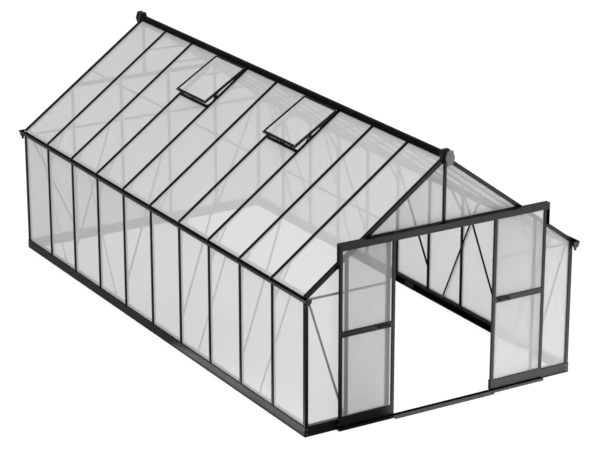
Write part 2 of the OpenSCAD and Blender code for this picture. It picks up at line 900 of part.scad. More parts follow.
// Track section: X outwards from the header's face, Y up
module track_section() {
    depth = track_reach + frame_inset;
    bead_x = -leaf_mid - half_l + frame_inset;
    polygon([[0, header_z], [0, track_z + track_h], [depth, track_z + track_h],
        [depth, track_z], [depth - 7, track_z], [depth - 7, track_z + base_t],
        [depth - base_t, track_z + base_t], [depth - base_t, track_z + track_h - base_t],
        [base_t, track_z + track_h - base_t], [base_t, rail_z],
        [bead_x - bead_w / 2, rail_z], [bead_x - bead_w / 2, rail_z + bead_h],
        [bead_x + bead_w / 2, rail_z + bead_h], [bead_x + bead_w / 2, rail_z - base_t],
        [base_t, rail_z - base_t], [base_t, header_z]]);
}

module door_track() {
    color(frame_colour) translate([-track_l / 2, -half_l + frame_inset, 0])
        rotate([90, 0, 90]) mirror([1, 0, 0]) linear_extrude(height = track_l) track_section();
}

// A plate closes each end of the track and is stayed back to the verge rafter
module track_ends() {
    x = -track_l / 2;
    foot = roof_z(x, bar_d / 2);
    color(frame_colour) both_sides() {
        translate([x - base_t, -half_l - track_reach, foot])
            cube([base_t, track_reach + frame_inset, track_z + track_h - foot]);
        translate([x - base_t, -half_l + frame_inset - base_t, foot - brace_lap])
            cube([bar_w, base_t, header_z - foot + brace_lap]);
    }
}

// Bottom guide: X outwards from the base, with two lips that hold the leaves' shoes
module door_guide() {
    mid = -leaf_mid - half_l;
    near = mid - guide_slot / 2;
    far = mid + guide_slot / 2;
    depth = track_reach - 1;
    t = base_t;
    lip = wall_t;
    color(frame_colour) translate([-track_l / 2, -half_l, 0])
        rotate([90, 0, 90]) mirror([1, 0, 0]) linear_extrude(height = track_l)
            polygon([[0, 0], [0, t], [near - lip, t], [near - lip, guide_h], [near, guide_h],
                [near, t], [far, t], [far, guide_h], [far + lip, guide_h], [far + lip, t],
                [depth - t, t], [depth - t, guide_h], [depth, guide_h], [depth, 0]]);
}

module threshold_ramp() {
    length = 2 * (opening_half - leaf_reveal + ramp_over);
    near = track_reach - 1;
    color(frame_colour) translate([-length / 2, -half_l, 0])
        rotate([90, 0, 90]) mirror([1, 0, 0]) linear_extrude(height = length)
            polygon([[near, 0], [near, guide_h - ramp_t], [near + ramp_t, guide_h - ramp_t],
                [ramp_reach, ramp_t], [ramp_reach, 0]]);
}

// ---- doors ----

shoe_l = 60;
shoe_t = 7;
shoe_z = 8;
hanger_w = 40;
hanger_t = 3;
hanger_low = 22;
hanger_over = 8;
wheel_w = 9;
wheel_rim = 2;
axle_r = 4;
handle_l = 120;
handle_out = 28;
handle_bar = 12;
handle_t = 8;
hanger_in = 80;

// A leaf is drawn as the left one, standing open
module leaf_panel(low, high, grow, thickness) {
    translate([leaf_outer + stile_w - grow, leaf_mid - thickness / 2, low - grow])
        cube([leaf_w - 2 * (stile_w - grow), thickness, high - low + 2 * grow]);
}

panes = [[leaf_bottom + bottom_rail, middle_rail_z],
    [middle_rail_z + middle_rail, leaf_top - top_rail]];

module door_frame(side) {
    color(frame_colour) on_side(side) difference() {
        translate([leaf_outer, leaf_mid - leaf_t / 2, leaf_bottom])
            cube([leaf_w, leaf_t, leaf_top - leaf_bottom]);
        for (p = panes) {
            leaf_panel(p[0], p[1], 0, leaf_t + 2);
            leaf_panel(p[0], p[1], slot_depth, slot_w);
        }
    }
}

module door_sheets(side) {
    color(sheet_colour) on_side(side)
        for (p = panes) leaf_panel(p[0], p[1], slot_depth - sheet_edge, sheet_t);
}

// A bow handle across the middle rail, near the stile that meets the other leaf
module door_handle(side) {
    x = leaf_outer + leaf_w - 2 * stile_w - handle_l - handle_bar / 2;
    z = middle_rail_z + (middle_rail - handle_bar) / 2;
    y = leaf_mid - leaf_t / 2 - handle_out;
    color(plastic_colour) on_side(side) translate([x, y, z]) difference() {
        cube([handle_l, handle_out, handle_bar]);
        translate([handle_bar, handle_t, -1])
            cube([handle_l - 2 * handle_bar, handle_out, handle_bar + 2]);
    }
}

// A plate on the leaf's face carries a grooved wheel that runs on the track's bead
module hanger(x) {
    front = leaf_mid - leaf_t / 2 - hanger_t;
    low = leaf_top - hanger_low;
    groove = wheel_w - 2 * wheel_rim;
    translate([x - hanger_w / 2, front, low])
        cube([hanger_w, hanger_t, roller_z + hanger_over - low]);
    translate([x, leaf_mid - wheel_w / 2, roller_z]) rotate([-90, 0, 0]) difference() {
        cylinder(h = wheel_w, r = roller_r + wheel_rim, $fn = 40);
        translate([0, 0, wheel_rim]) difference() {
            cylinder(h = groove, r = roller_r + wheel_rim + 1, $fn = 40);
            translate([0, 0, -1]) cylinder(h = wheel_w, r = roller_r, $fn = 40);
        }
    }
    translate([x, front, roller_z]) rotate([-90, 0, 0])
        cylinder(h = leaf_mid - front, r = axle_r, $fn = 24);
}

module door_runners(side) {
    color(plastic_colour) on_side(side)
        for (x = [leaf_outer + hanger_in, leaf_outer + leaf_w - hanger_in]) {
            hanger(x);
            translate([x - shoe_l / 2, leaf_mid - shoe_t / 2, shoe_z])
                cube([shoe_l, shoe_t, leaf_bottom - shoe_z]);
        }
}

base_side("left");  // base_left
base_side("right");  // base_right
base_front();
base_back();
corner_posts();
wall_posts();
eave_beams();
gutter_floors();
gutter_fronts();
gutter_ends();
ridge_beam();
ridge_caps();
rafters("left");  // left_rafters
rafters("right");  // right_rafters
verge_rafters();
gable_studs();
gable_headers();
tie_bars();
collar_ties();
knee_braces();
wall_braces();
gable_braces();
purlins();
wall_sheets("left");  // left_wall_sheets
wall_sheets("right");  // right_wall_sheets
roof_sheets("left");  // left_roof_sheets
roof_sheets("right");  // right_roof_sheets
front_gable_sheets();
back_gable_sheets();
window_sills();
window_sashes();
window_sheets();
window_stays();
door_track();
track_ends();
door_guide();
threshold_ramp();
door_frame("left");  // left_door_frame
door_sheets("left");  // left_door_sheets
door_handle("left");  // left_door_handle
door_runners("left");  // left_door_runners
door_frame("right");  // right_door_frame
door_sheets("right");  // right_door_sheets
door_handle("right");  // right_door_handle
door_runners("right");  // right_door_runners
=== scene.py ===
# %% [markdown]
# # A polycarbonate greenhouse with a black aluminium frame
# The greenhouse arrives as a finished frame: every bar, sheet and door is already a solid of
# the right size in the right place. This lesson dresses it. It gives each solid a finish, adds
# the small hardware that holds such a house together, and lights it like a studio product.

# %% Load the frame
import math

import bmesh
import bpy
from mathutils import Matrix, Vector


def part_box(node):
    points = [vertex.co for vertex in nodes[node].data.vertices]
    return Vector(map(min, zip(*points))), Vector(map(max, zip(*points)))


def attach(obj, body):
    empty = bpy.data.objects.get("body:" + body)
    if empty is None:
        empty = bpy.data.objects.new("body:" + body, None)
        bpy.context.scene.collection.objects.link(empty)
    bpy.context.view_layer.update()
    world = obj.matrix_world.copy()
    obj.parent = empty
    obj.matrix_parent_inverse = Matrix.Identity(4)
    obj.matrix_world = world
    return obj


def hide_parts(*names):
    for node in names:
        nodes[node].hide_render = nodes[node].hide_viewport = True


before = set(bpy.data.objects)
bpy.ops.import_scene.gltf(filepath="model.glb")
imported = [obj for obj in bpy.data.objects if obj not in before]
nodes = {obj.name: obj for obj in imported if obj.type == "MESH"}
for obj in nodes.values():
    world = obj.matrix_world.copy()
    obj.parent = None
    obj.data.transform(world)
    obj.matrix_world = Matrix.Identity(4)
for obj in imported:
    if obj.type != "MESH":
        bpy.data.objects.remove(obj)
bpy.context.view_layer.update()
scene = bpy.context.scene

# %% [markdown]
# ## A place to stand
# The camera stands well back with a long lens, so that the long wall hardly tapers. It looks
# down at about nineteen degrees from in front of the left corner. The rotation comes from the
# line of sight, which is easier to read than three angles.

# %% Camera
EYE = Vector((-11.794, -20.04, 9.023))
SIGHT = Vector((0.487, 0.809, -0.329))
SENSOR, LENS = 36.0, 137.9
SHIFT_X, SHIFT_Y = -0.001, -0.0038


def add_camera():
    data = bpy.data.cameras.new("camera")
    data.sensor_width = SENSOR
    data.lens = LENS
    data.shift_x = SHIFT_X
    data.shift_y = SHIFT_Y
    data.clip_end = 200.0
    obj = bpy.data.objects.new("camera", data)
    scene.collection.objects.link(obj)
    obj.location = EYE
    obj.rotation_euler = SIGHT.to_track_quat("-Z", "Y").to_euler()
    scene.camera = obj
    print("camera", [round(math.degrees(a), 2) for a in obj.rotation_euler])


add_camera()

# %% [markdown]
# ## The house in numbers
# Most sizes could be typed in, but then the hardware would stay behind when the house changes.
# So they are read from the boxes of the solids. A box can't tell the roof's two heights or the
# sizes of the bars, and these are the ones that the house was drawn with.

# %% Sizes of the house
base_low, base_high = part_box("base_left")
HALF_W = -base_low.x
HALF_L = base_high.y
BASE_H = base_high.z
BAYS = 10
BAY = 2 * HALF_L / BAYS
EAVE_Z, RIDGE_Z = 1.416, 2.536
SLOPE = math.atan2(RIDGE_Z - EAVE_Z, HALF_W)
INSET, BAR_W, BAR_D, VERGE_W = 0.004, 0.030, 0.040, 0.036
PANE_HALF_T = 0.0032
HOOD_H, HOOD_W = 0.029, 0.068
JAMB_X, BACK_STUDS = 0.62, (0.93, 0.31)
WINDOW_BAYS = (3, 6)
HEADER_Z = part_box("gable_headers")[0].z
X, Y, Z = Vector((1, 0, 0)), Vector((0, 1, 0)), Vector((0, 0, 1))
print("bay", round(BAY, 3), "roof angle", round(math.degrees(SLOPE), 2))

# %% [markdown]
# ## Node helpers
# Every finish below is a small graph of nodes. Short helpers keep the graphs readable: one
# adds a node and sets its plain values, one wires two sockets, and one does sums.


# %% Helpers for nodes
def add(tree, kind, **values):
    node = tree.nodes.new(kind)
    for name, value in values.items():
        if name in node.bl_rna.properties:
            setattr(node, name, value)
        else:
            node.inputs[name.replace("_", " ")].default_value = value
    return node


def wire(tree, out, into):
    tree.links.new(out, into)


def maths(tree, operation, *values):
    node = add(tree, "ShaderNodeMath", operation=operation)
    for socket, value in zip(node.inputs, values):
        if isinstance(value, (int, float)):
            socket.default_value = value
        else:
            wire(tree, value, socket)
    return node.outputs[0]


def object_place(tree):
    return add(tree, "ShaderNodeTexCoord").outputs["Object"]


def noise(tree, scale, detail=2.0):
    node = add(tree, "ShaderNodeTexNoise", Scale=scale, Detail=detail, Roughness=0.55)
    wire(tree, object_place(tree), node.inputs["Vector"])
    return node


# %% Helpers for node groups
FLOAT, VECTOR = "NodeSocketFloat", "NodeSocketVector"


def new_group(name, inputs, outputs):
    tree = bpy.data.node_groups.new(name, "ShaderNodeTree")
    for label, kind, value in inputs:
        socket = tree.interface.new_socket(label, in_out="INPUT", socket_type=kind)
        socket.default_value = value
    for label, kind in outputs:
        tree.interface.new_socket(label, in_out="OUTPUT", socket_type=kind)
    source = tree.nodes.new("NodeGroupInput")
    sink = tree.nodes.new("NodeGroupOutput")
    return tree, source.outputs, sink.inputs


def place_group(tree, group, **values):
    node = tree.nodes.new("ShaderNodeGroup")
    node.node_tree = group
    for name, value in values.items():
        node.inputs[name.replace("_", " ")].default_value = value
    return node.outputs


def shader_of(name, roughness=0.5, specular=0.5):
    material = bpy.data.materials.new(name)
    material.use_nodes = True
    tree = material.node_tree
    shader = tree.nodes["Principled BSDF"].inputs
    shader["Roughness"].default_value = roughness
    shader["Specular IOR Level"].default_value = specular
    return material, tree, shader


def tinted(tree, tone, amount):
    node = add(tree, "ShaderNodeMix", data_type="RGBA", blend_type="MULTIPLY")
    node.inputs["Factor"].default_value = 1.0
    node.inputs["A"].default_value = (*tone, 1.0)
    wire(tree, amount, node.inputs["B"])
    return node


# %% [markdown]
# ## Effects that several finishes share
# A twin-wall sheet is two thin skins joined by upright webs, drawn through one die. The webs
# pass less light than the skins, so the sheet shows fine stripes, and the die leaves a slower
# wave in the skins. Real webs would be many thousands of thin faces that no eye can tell from
# stripes, so the flutes are drawn by nodes that follow the place on the object.
# Haze is a slow, cloudy change that keeps a large face from looking painted by a machine.
# Grain is the orange peel of baked powder paint or of a spark-eroded mould. Painted light is a
# mask that grows across the house, from nothing at one place to full at another.


# %% Group for flutes
def stripes(tree, across, pitch):
    turns = maths(tree, "DIVIDE", across, pitch)
    wave = maths(tree, "COSINE", maths(tree, "MULTIPLY", turns, 2 * math.pi))
    return maths(tree, "MULTIPLY_ADD", wave, 0.5, 0.5)


def flute_group():
    tree, source, sink = new_group(
        "flutes",
        [("Across", VECTOR, (0.0, 1.0, 0.0)), ("Pitch", FLOAT, 0.006), ("Draw", FLOAT, 0.036)],
        [("Web", FLOAT), ("Wave", FLOAT), ("Height", FLOAT)],
    )
    along = add(tree, "ShaderNodeVectorMath", operation="DOT_PRODUCT")
    wire(tree, object_place(tree), along.inputs[0])
    wire(tree, source["Across"], along.inputs[1])
    across = along.outputs["Value"]
    ripple = stripes(tree, across, source["Pitch"])
    draw = stripes(tree, across, source["Draw"])
    wire(tree, maths(tree, "POWER", ripple, 6.0), sink["Web"])
    wire(tree, draw, sink["Wave"])
    wire(tree, maths(tree, "MULTIPLY_ADD", draw, 2.0, ripple), sink["Height"])
    return tree


# %% Groups for haze, grain and painted light
def haze_group():
    tree, source, sink = new_group(
        "haze",
        [("Scale", FLOAT, 2.0), ("Low", FLOAT, 0.9), ("High", FLOAT, 1.0)],
        [("Amount", FLOAT)],
    )
    cloud = noise(tree, 2.0, 3.0)
    wire(tree, source["Scale"], cloud.inputs["Scale"])
    spread = add(tree, "ShaderNodeMapRange", From_Min=0.3, From_Max=0.7)
    wire(tree, cloud.outputs["Fac"], spread.inputs["Value"])
    wire(tree, source["Low"], spread.inputs["To Min"])
    wire(tree, source["High"], spread.inputs["To Max"])
    wire(tree, spread.outputs["Result"], sink["Amount"])
    return tree


def grain_group():
    tree, source, sink = new_group(
        "grain", [("Size", FLOAT, 900.0), ("Cells", FLOAT, 300.0)], [("Height", FLOAT)]
    )
    fine = noise(tree, 900.0, 1.0)
    wire(tree, source["Size"], fine.inputs["Scale"])
    peel = add(tree, "ShaderNodeTexVoronoi", feature="SMOOTH_F1")
    wire(tree, object_place(tree), peel.inputs["Vector"])
    wire(tree, source["Cells"], peel.inputs["Scale"])
    both = maths(tree, "MULTIPLY_ADD", peel.outputs["Distance"], 0.6, fine.outputs["Fac"])
    wire(tree, both, sink["Height"])
    return tree


# painted light: a mask that grows from left to right across the house and lightens the sheets
def painted_light_group():
    tree, source, sink = new_group(
        "painted_light", [("Starts", FLOAT, -1.0), ("Full", FLOAT, 0.3)], [("Amount", FLOAT)]
    )
    place = add(tree, "ShaderNodeSeparateXYZ")
    wire(tree, object_place(tree), place.inputs[0])
    reach = add(tree, "ShaderNodeMapRange", interpolation_type="SMOOTHSTEP")
    wire(tree, place.outputs["X"], reach.inputs["Value"])
    wire(tree, source["Starts"], reach.inputs["From Min"])
    wire(tree, source["Full"], reach.inputs["From Max"])
    wire(tree, reach.outputs["Result"], sink["Amount"])
    return tree


FLUTES, HAZE, GRAIN, PAINTED_LIGHT = flute_group(), haze_group(), grain_group(), painted_light_group()
print("groups:", [group.name for group in (FLUTES, HAZE, GRAIN, PAINTED_LIGHT)])

# %% [markdown]
# ## Twin-wall sheet
# The sheet is milky: it scatters most light, so the bars behind it show as pale ghosts. The
# walls and the roof are seen at a slant and let about a fifth straight through; the gables and
# the doors are seen more squarely and let about a third through. The gables and the doors are
# given a darker colour than the walls and the roof: painted shade on the faces turned to the
# front, and a darker painted shade still on the doors. So there is one function and three
# sheets.
# The gables and the doors turn lighter towards the right and hide more there: painted light, for
# the light that falls from the right front. The change is slow enough that no edge shows.
# A slab drawn as a solid has two skins on each ray. Only the skin that faces the viewer is
# given cover, so a sheet counts once. Light on its way in passes more easily than sight does,
# because a real sheet spreads light instead of stopping it.


# %% Twin-wall sheet material
SKIN_LESS, WEB_MORE, WEB_TINT = 0.02, 0.10, 1.08
LIGHT_PASSES = 0.94


def twin_wall(name, across, tone, cover, ribbing, gloss=0.05, lighter_right=None):
    material, tree, shader = shader_of(name, roughness=0.45, specular=gloss)
    flutes = place_group(tree, FLUTES, Across=across)
    haze = place_group(tree, HAZE, Scale=1.3, Low=0.98, High=1.02)
    lit = maths(tree, "MULTIPLY_ADD", flutes["Wave"], ribbing, 1.0 - ribbing / 2)
    lit = maths(tree, "MULTIPLY", lit, haze["Amount"])
    shade = tinted(tree, tone, lit)
    skin = cover - SKIN_LESS
    # painted light: towards the right the colour turns lighter, for the light from the right
    # front, and the sheet hides more
    if lighter_right:
        lighter_tone, lighter_cover = lighter_right
        painted_light = place_group(tree, PAINTED_LIGHT, Starts=-1.0, Full=0.3)["Amount"]
        painted_tone = add(tree, "ShaderNodeMix", data_type="RGBA")
        painted_tone.inputs["A"].default_value = (*tone, 1.0)
        painted_tone.inputs["B"].default_value = (*lighter_tone, 1.0)
        wire(tree, painted_light, painted_tone.inputs["Factor"])
        wire(tree, painted_tone.outputs["Result"], shade.inputs["A"])
        skin = maths(tree, "MULTIPLY_ADD", painted_light, lighter_cover - cover, skin)
    web = add(tree, "ShaderNodeMix", data_type="RGBA")
    web.inputs["B"].default_value = (*[min(1.0, c * WEB_TINT) for c in tone], 1.0)
    wire(tree, shade.outputs["Result"], web.inputs["A"])
    wire(tree, flutes["Web"], web.inputs["Factor"])
    wire(tree, web.outputs["Result"], shader["Base Color"])
    path = add(tree, "ShaderNodeLightPath").outputs
    passing = maths(tree, "MAXIMUM", path["Is Shadow Ray"], path["Is Diffuse Ray"])
    webbed = maths(tree, "MULTIPLY_ADD", flutes["Web"], WEB_MORE, skin)
    stopped = maths(tree, "MULTIPLY_ADD", passing, -LIGHT_PASSES, 1.0)
    open_to_light = maths(tree, "MULTIPLY", webbed, stopped)
    back = add(tree, "ShaderNodeNewGeometry").outputs["Backfacing"]
    front = maths(tree, "SUBTRACT", 1.0, back)
    wire(tree, maths(tree, "MULTIPLY", open_to_light, front), shader["Alpha"])
    bump = add(tree, "ShaderNodeBump", Strength=0.2, Distance=0.0004)
    wire(tree, flutes["Height"], bump.inputs["Height"])
    wire(tree, bump.outputs["Normal"], shader["Normal"])
    print("material", name)
    return material


# painted shade: the gable and door sheets take a darker colour than the wall and roof sheets of
# the same polycarbonate, the doors darkest
sheet_along = twin_wall("twin_wall_along_house", Y, (0.755, 0.757, 0.757), 0.80, 0.022)
# painted light on the gables and the doors: a lighter colour and more cover towards the right
sheet_across = twin_wall("twin_wall_across_house", X, (0.44, 0.443, 0.443), 0.50, 0.05, 0.14,
                         lighter_right=((0.69, 0.693, 0.693), 0.68))
sheet_doors = twin_wall("twin_wall_of_doors", X, (0.33, 0.336, 0.335), 0.50, 0.055, 0.15,
                        lighter_right=((0.48, 0.486, 0.485), 0.66))

# %% [markdown]
# ## Black bars, plastic and rubber
# The bars are aluminium with a baked black powder coat: dark, satin, with a very fine orange
# peel. The threshold's coat is a lighter grey than the rest. Plastic mouldings are a touch
# lighter and duller, the handles are a dull black, rubber is duller still, and the screws are
# bare stainless steel. Ten materials could be built one by one, but they differ only in their
# values, so one function makes them all.


# %% Coated and moulded finishes
SHEEN_SCALE, TINT_SCALE = 3.0, 60.0


def coated(name, tone, roughness, specular, metallic=0.0, peel=0.15, spread=0.05):
    material, tree, shader = shader_of(name, specular=specular)
    shader["Metallic"].default_value = metallic
    low, high = roughness - spread, roughness + spread
    sheen = place_group(tree, HAZE, Scale=SHEEN_SCALE, Low=low, High=high)
    wire(tree, sheen["Amount"], shader["Roughness"])
    tint = place_group(tree, HAZE, Scale=TINT_SCALE, Low=0.85, High=1.15)
    colour = tinted(tree, tone, tint["Amount"])
    wire(tree, colour.outputs["Result"], shader["Base Color"])
    grain = place_group(tree, GRAIN)
    bump = add(tree, "ShaderNodeBump", Strength=peel, Distance=0.0002)
    wire(tree, grain["Height"], bump.inputs["Height"])
    wire(tree, bump.outputs["Normal"], shader["Normal"])
    print("material", name)
    return material


black_coat = coated("black_powder_coat", (0.0035, 0.0035, 0.0038), 0.40, 0.049)
roof_coat = coated("black_powder_coat_matt", (0.004, 0.004, 0.0042), 0.5, 0.06)
ridge_coat = coated("black_powder_coat_ridge", (0.0025, 0.0025, 0.0026), 0.55, 0.02)
# the threshold's coat: a lighter grey than the other bars
grey_coat = coated("grey_powder_coat", (0.085, 0.085, 0.087), 0.5, 0.2)
handle_black = coated("black_handle_plastic", (0.003, 0.003, 0.003), 0.6, 0.03, peel=0.3)
dark_plastic = coated("dark_moulded_plastic", (0.009, 0.009, 0.0095), 0.5, 0.09, peel=0.3)
black_plastic = coated("black_moulded_plastic", (0.022, 0.022, 0.023), 0.5, 0.30, peel=0.3)
rubber = coated("black_rubber", (0.012, 0.012, 0.012), 0.7, 0.2, peel=0.3)
steel = coated("stainless_steel", (0.55, 0.55, 0.56), 0.32, 0.5, metallic=1.0, peel=0.05)
brush = coated("brush_pile", (0.05, 0.05, 0.052), 0.85, 0.1, peel=0.8)

# %% [markdown]
# ## Finish the solids
# Each solid keeps its shape and gets its finish by name. Forty-five lines could do it, but a
# rule with a few exceptions is easier to check. The roof turns its bars to the sky, where a
# satin black would turn grey, so those bars take the matt coat, and the broad ridge a duller
# one still. The threshold takes the grey one.

# %% Finish every node
SHEETS = {"front_gable_sheets": sheet_across, "back_gable_sheets": sheet_across,
          "left_door_sheets": sheet_doors, "right_door_sheets": sheet_doors}
ROOF_BARS = ("left_rafters", "right_rafters", "window_sashes", "window_sills")
MOULDED = ("gutter_ends", "ridge_caps")
OWN_COATS = {"threshold_ramp": grey_coat, "ridge_beam": ridge_coat}


def finish_of(name):
    if "sheets" in name:
        return SHEETS.get(name, sheet_along)
    if name in MOULDED or name.endswith(("handle", "runners")):
        return black_plastic
    if name in ROOF_BARS:
        return roof_coat
    return OWN_COATS.get(name, black_coat)


for name, node in nodes.items():
    node.data.materials.clear()
    node.data.materials.append(finish_of(name))
print("finished", len(nodes), "nodes")

# %% [markdown]
# ## Making small hardware
# All the hardware is made from three moves, each of which joins one ring of points to the
# next. A prism pushes an outline along a line, a turned form spins a profile about an axis,
# and a swept bar carries a section along a path. Prisms and turned forms take a placing
# matrix, so the same screw can point anywhere.


# %% Placing, lofts and prisms
def placing(origin, u, v, w):
    matrix = Matrix((u, v, w)).transposed().to_4x4()
    matrix.translation = origin
    return matrix


def facing(origin, axis):
    axis = Vector(axis).normalized()
    side = axis.orthogonal().normalized()
    return placing(origin, side, axis.cross(side), axis)


def bridge_rings(bm, rings):
    for low, high in zip(rings, rings[1:]):
        for i in range(max(len(low), len(high))):
            a, b = low[i % len(low)], low[(i + 1) % len(low)]
            c, d = high[(i + 1) % len(high)], high[i % len(high)]
            corners = list(dict.fromkeys((a, b, c, d)))
            if len(corners) > 2:
                bm.faces.new(corners)


def loft(bm, rings):
    bm.faces.new(rings[0][::-1])
    bm.faces.new(rings[-1])
    bridge_rings(bm, rings)


def prism(bm, outline, place, depth, start=0.0):
    loft(bm, [[bm.verts.new(place @ Vector((u, v, w))) for u, v in outline]
              for w in (start, start + depth)])


def block(width, height, centre=(0.0, 0.0), corner=0.0):
    w, h = width / 2, height / 2
    if corner:
        points = [(w, corner - h), (w, h - corner), (w - corner, h), (corner - w, h),
                  (-w, h - corner), (-w, corner - h), (corner - w, -h), (w - corner, -h)]
    else:
        points = [(w, -h), (w, h), (-w, h), (-w, -h)]
    return [(u + centre[0], v + centre[1]) for u, v in points]


# %% Turned forms and swept bars
def turned(bm, profile, place, sides=16):
    rings = []
    for radius, height in profile:
        if radius < 1e-6:
            rings.append([bm.verts.new(place @ Vector((0, 0, height)))])
            continue
        turns = [2 * math.pi * i / sides for i in range(sides)]
        ring = [(radius * math.cos(t), radius * math.sin(t), height) for t in turns]
        rings.append([bm.verts.new(place @ Vector(point)) for point in ring])
    bridge_rings(bm, rings)


def swept(bm, path, section, side, closed=False):
    ends = path[-1:] + path + path[:1] if closed else path[:1] + path + path[-1:]
    rings = []
    for before, point, after in zip(ends, path, ends[2:]):
        up = (after - before).normalized().cross(side).normalized()
        rings.append([bm.verts.new(point + side * u + up * v) for u, v in section])
    if closed:
        bridge_rings(bm, rings + rings[:1])
    else:
        loft(bm, rings)


def circle(radius, sides=8):
    turns = [2 * math.pi * (i + 0.5) / sides for i in range(sides)]
    return [(radius * math.cos(t), radius * math.sin(t)) for t in turns]


# %% Finishing a piece
SHARP, BEVELLED = math.radians(35), math.radians(40)


def make_piece(name, bm, material, body="greenhouse", bevel=0.0):
    bmesh.ops.recalc_face_normals(bm, faces=bm.faces)
    for face in bm.faces:
        face.smooth = True
    for edge in bm.edges:
        edge.smooth = edge.calc_face_angle(math.pi) < SHARP
    mesh = bpy.data.meshes.new(name)
    bm.to_mesh(mesh)
    bm.free()
    obj = bpy.data.objects.new(name, mesh)
    scene.collection.objects.link(obj)
    mesh.materials.append(material)
    if bevel:
        rounding = obj.modifiers.new("rounded_edges", "BEVEL")
        rounding.width = bevel
        rounding.segments = 2
        rounding.limit_method = "ANGLE"
        rounding.angle_limit = BEVELLED
    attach(obj, body)
    print(f"{name}: {len(mesh.polygons)} faces on {body}")
    return obj


# %% [markdown]
# ## Placing on the house
# Every piece on the left has a twin on the right, and each gable has a twin behind. Points are
# worked out for one side and turned over by a sign. A roof point is found by its distance up
# the slope and its height off the roof's outer face.


# %% Points of the roof and walls
def roof_point(side, y, up, out=0.0):
    x = HALF_W - up * math.cos(SLOPE) + out * math.sin(SLOPE)
    return Vector((side * x, y, EAVE_Z + up * math.sin(SLOPE) + out * math.cos(SLOPE)))


def roof_place(side, y, up):
    rise = Vector((-side * math.cos(SLOPE), 0, math.sin(SLOPE)))
    out = Vector((side * math.sin(SLOPE), 0, math.cos(SLOPE)))
    return placing(roof_point(side, y, up), Y, out, rise)


def wall_place(side, y, z):
    return placing(Vector((side * (HALF_W - INSET), y, z)), Y, Vector((side, 0, 0)), Z)


def gable_place(end, x, z):
    return placing(Vector((x, end * (HALF_L - INSET), z)), X, Vector((0, end, 0)), Z)


def under_rafters(x, depth):
    return RIDGE_Z - abs(x) * math.tan(SLOPE) - depth / math.cos(SLOPE)


SIDES = (-1, 1)
CORNERS = [(side, end) for side in SIDES for end in SIDES]
bar_ys = [-HALF_L + k * BAY for k in range(1, BAYS)]
print("bars along the house at", [round(y, 2) for y in bar_ys])

# %% [markdown]
# ## Glazing seals
# Each crown presses its sheet onto a rubber lip that shows as a thin soft line beside the bar.
# A line in the sheet's material would look the same from afar, but flat from near by. So the
# lip is a prism with a sloped top, run along both edges of every bar.

# %% Glazing seals
LIP = [(0.0, -0.0122), (0.0032, -0.0122), (0.0024, -0.0102), (0.0, -0.0088)]
LIP_UP = 0.03
HOOD_EDGE = (HALF_W - HOOD_W / 2) / math.cos(SLOPE)
HINGE_UP = HOOD_EDGE - 0.002
SASH_L, SILL_GAP = 0.600, 0.010
SILL_UP = HINGE_UP - SASH_L - SILL_GAP
RIDGE_CLEAR = 0.08
EAVE_BEAM_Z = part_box("eave_beams")[0].z


def lip(bm, place, edge, turn, length):
    prism(bm, [(edge + turn * u, v) for u, v in LIP], place, length)


def edges_along_house():
    corner = HALF_L - INSET - VERGE_W
    yield -corner, 1, 0
    for k, y in enumerate(bar_ys, start=1):
        yield y - BAR_W / 2, -1, k - 1
        yield y + BAR_W / 2, 1, k
    yield corner, -1, BAYS - 1


def side_seals():
    bm = bmesh.new()
    for side in SIDES:
        for edge, turn, bay in edges_along_house():
            lip(bm, wall_place(side, 0, BASE_H), edge, turn, EAVE_BEAM_Z - BASE_H)
            top = SILL_UP if bay in WINDOW_BAYS else HOOD_EDGE
            lip(bm, roof_place(side, 0, LIP_UP), edge, turn, top - LIP_UP)
    make_piece("side_glazing_seals", bm, rubber)


def gable_seals():
    bm = bmesh.new()
    corner = HALF_W - INSET - VERGE_W
    half = BAR_W / 2
    stud, jamb = (HALF_W + JAMB_X) / 2, JAMB_X + half
    front = [(corner, -1), (stud + half, 1), (stud - half, -1), (jamb, 1)]
    back = [(corner, -1)] + [(x + t * half, t) for x in BACK_STUDS for t in (1, -1)]
    for end, edges in ((-1, front), (1, back)):
        for x, turn in edges:
            for side in SIDES:
                top = min(HEADER_Z, under_rafters(x + INSET, BAR_D))
                lip(bm, gable_place(end, 0, BASE_H), side * x, side * turn, top - BASE_H)
        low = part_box("gable_headers")[1].z
        for side in SIDES:
            lip(bm, gable_place(end, 0, low), side * half, side,
                RIDGE_Z - RIDGE_CLEAR - low)
    make_piece("gable_glazing_seals", bm, rubber)


side_seals()
gable_seals()

# %% [markdown]
# ## Screws and bolts
# Flat braces are held by hexagon bolts that slide in the channels of the bars, and the base
# and the doors by round-headed screws. A bolt is a turned washer with a turned head of six
# sides, which is quicker than cutting a hexagon and gives the same bevelled top.


# %% Bolt and screw
WASHER_T, HEAD_SIDE, HEAD_T = 0.0012, 0.0042, 0.0050
STEM = [(0, HEAD_T), (0.003, HEAD_T), (0.003, 0.0078), (0.0022, 0.0085), (0, 0.0085)]


def bolt(bm, at, axis, size=0.010):
    place = facing(at, axis)
    rim, corner, flat = size * 0.9, size * 0.577, size / 2
    turned(bm, [(0, 0), (rim, 0), (rim, WASHER_T), (0, WASHER_T)], place, 14)
    head = [(0, WASHER_T), (corner, WASHER_T), (corner, HEAD_SIDE), (flat, HEAD_T), (0, HEAD_T)]
    turned(bm, head, place, 6)
    turned(bm, STEM, place, 8)


def screw(bm, at, axis, radius=0.005):
    rim = radius * 0.45
    profile = [(0, 0), (radius, 0), (radius * 0.96, radius * 0.3), (radius * 0.7, radius * 0.55),
               (rim, radius * 0.62), (rim * 0.9, radius * 0.2), (0, radius * 0.2)]
    turned(bm, profile, facing(at, axis), 14)


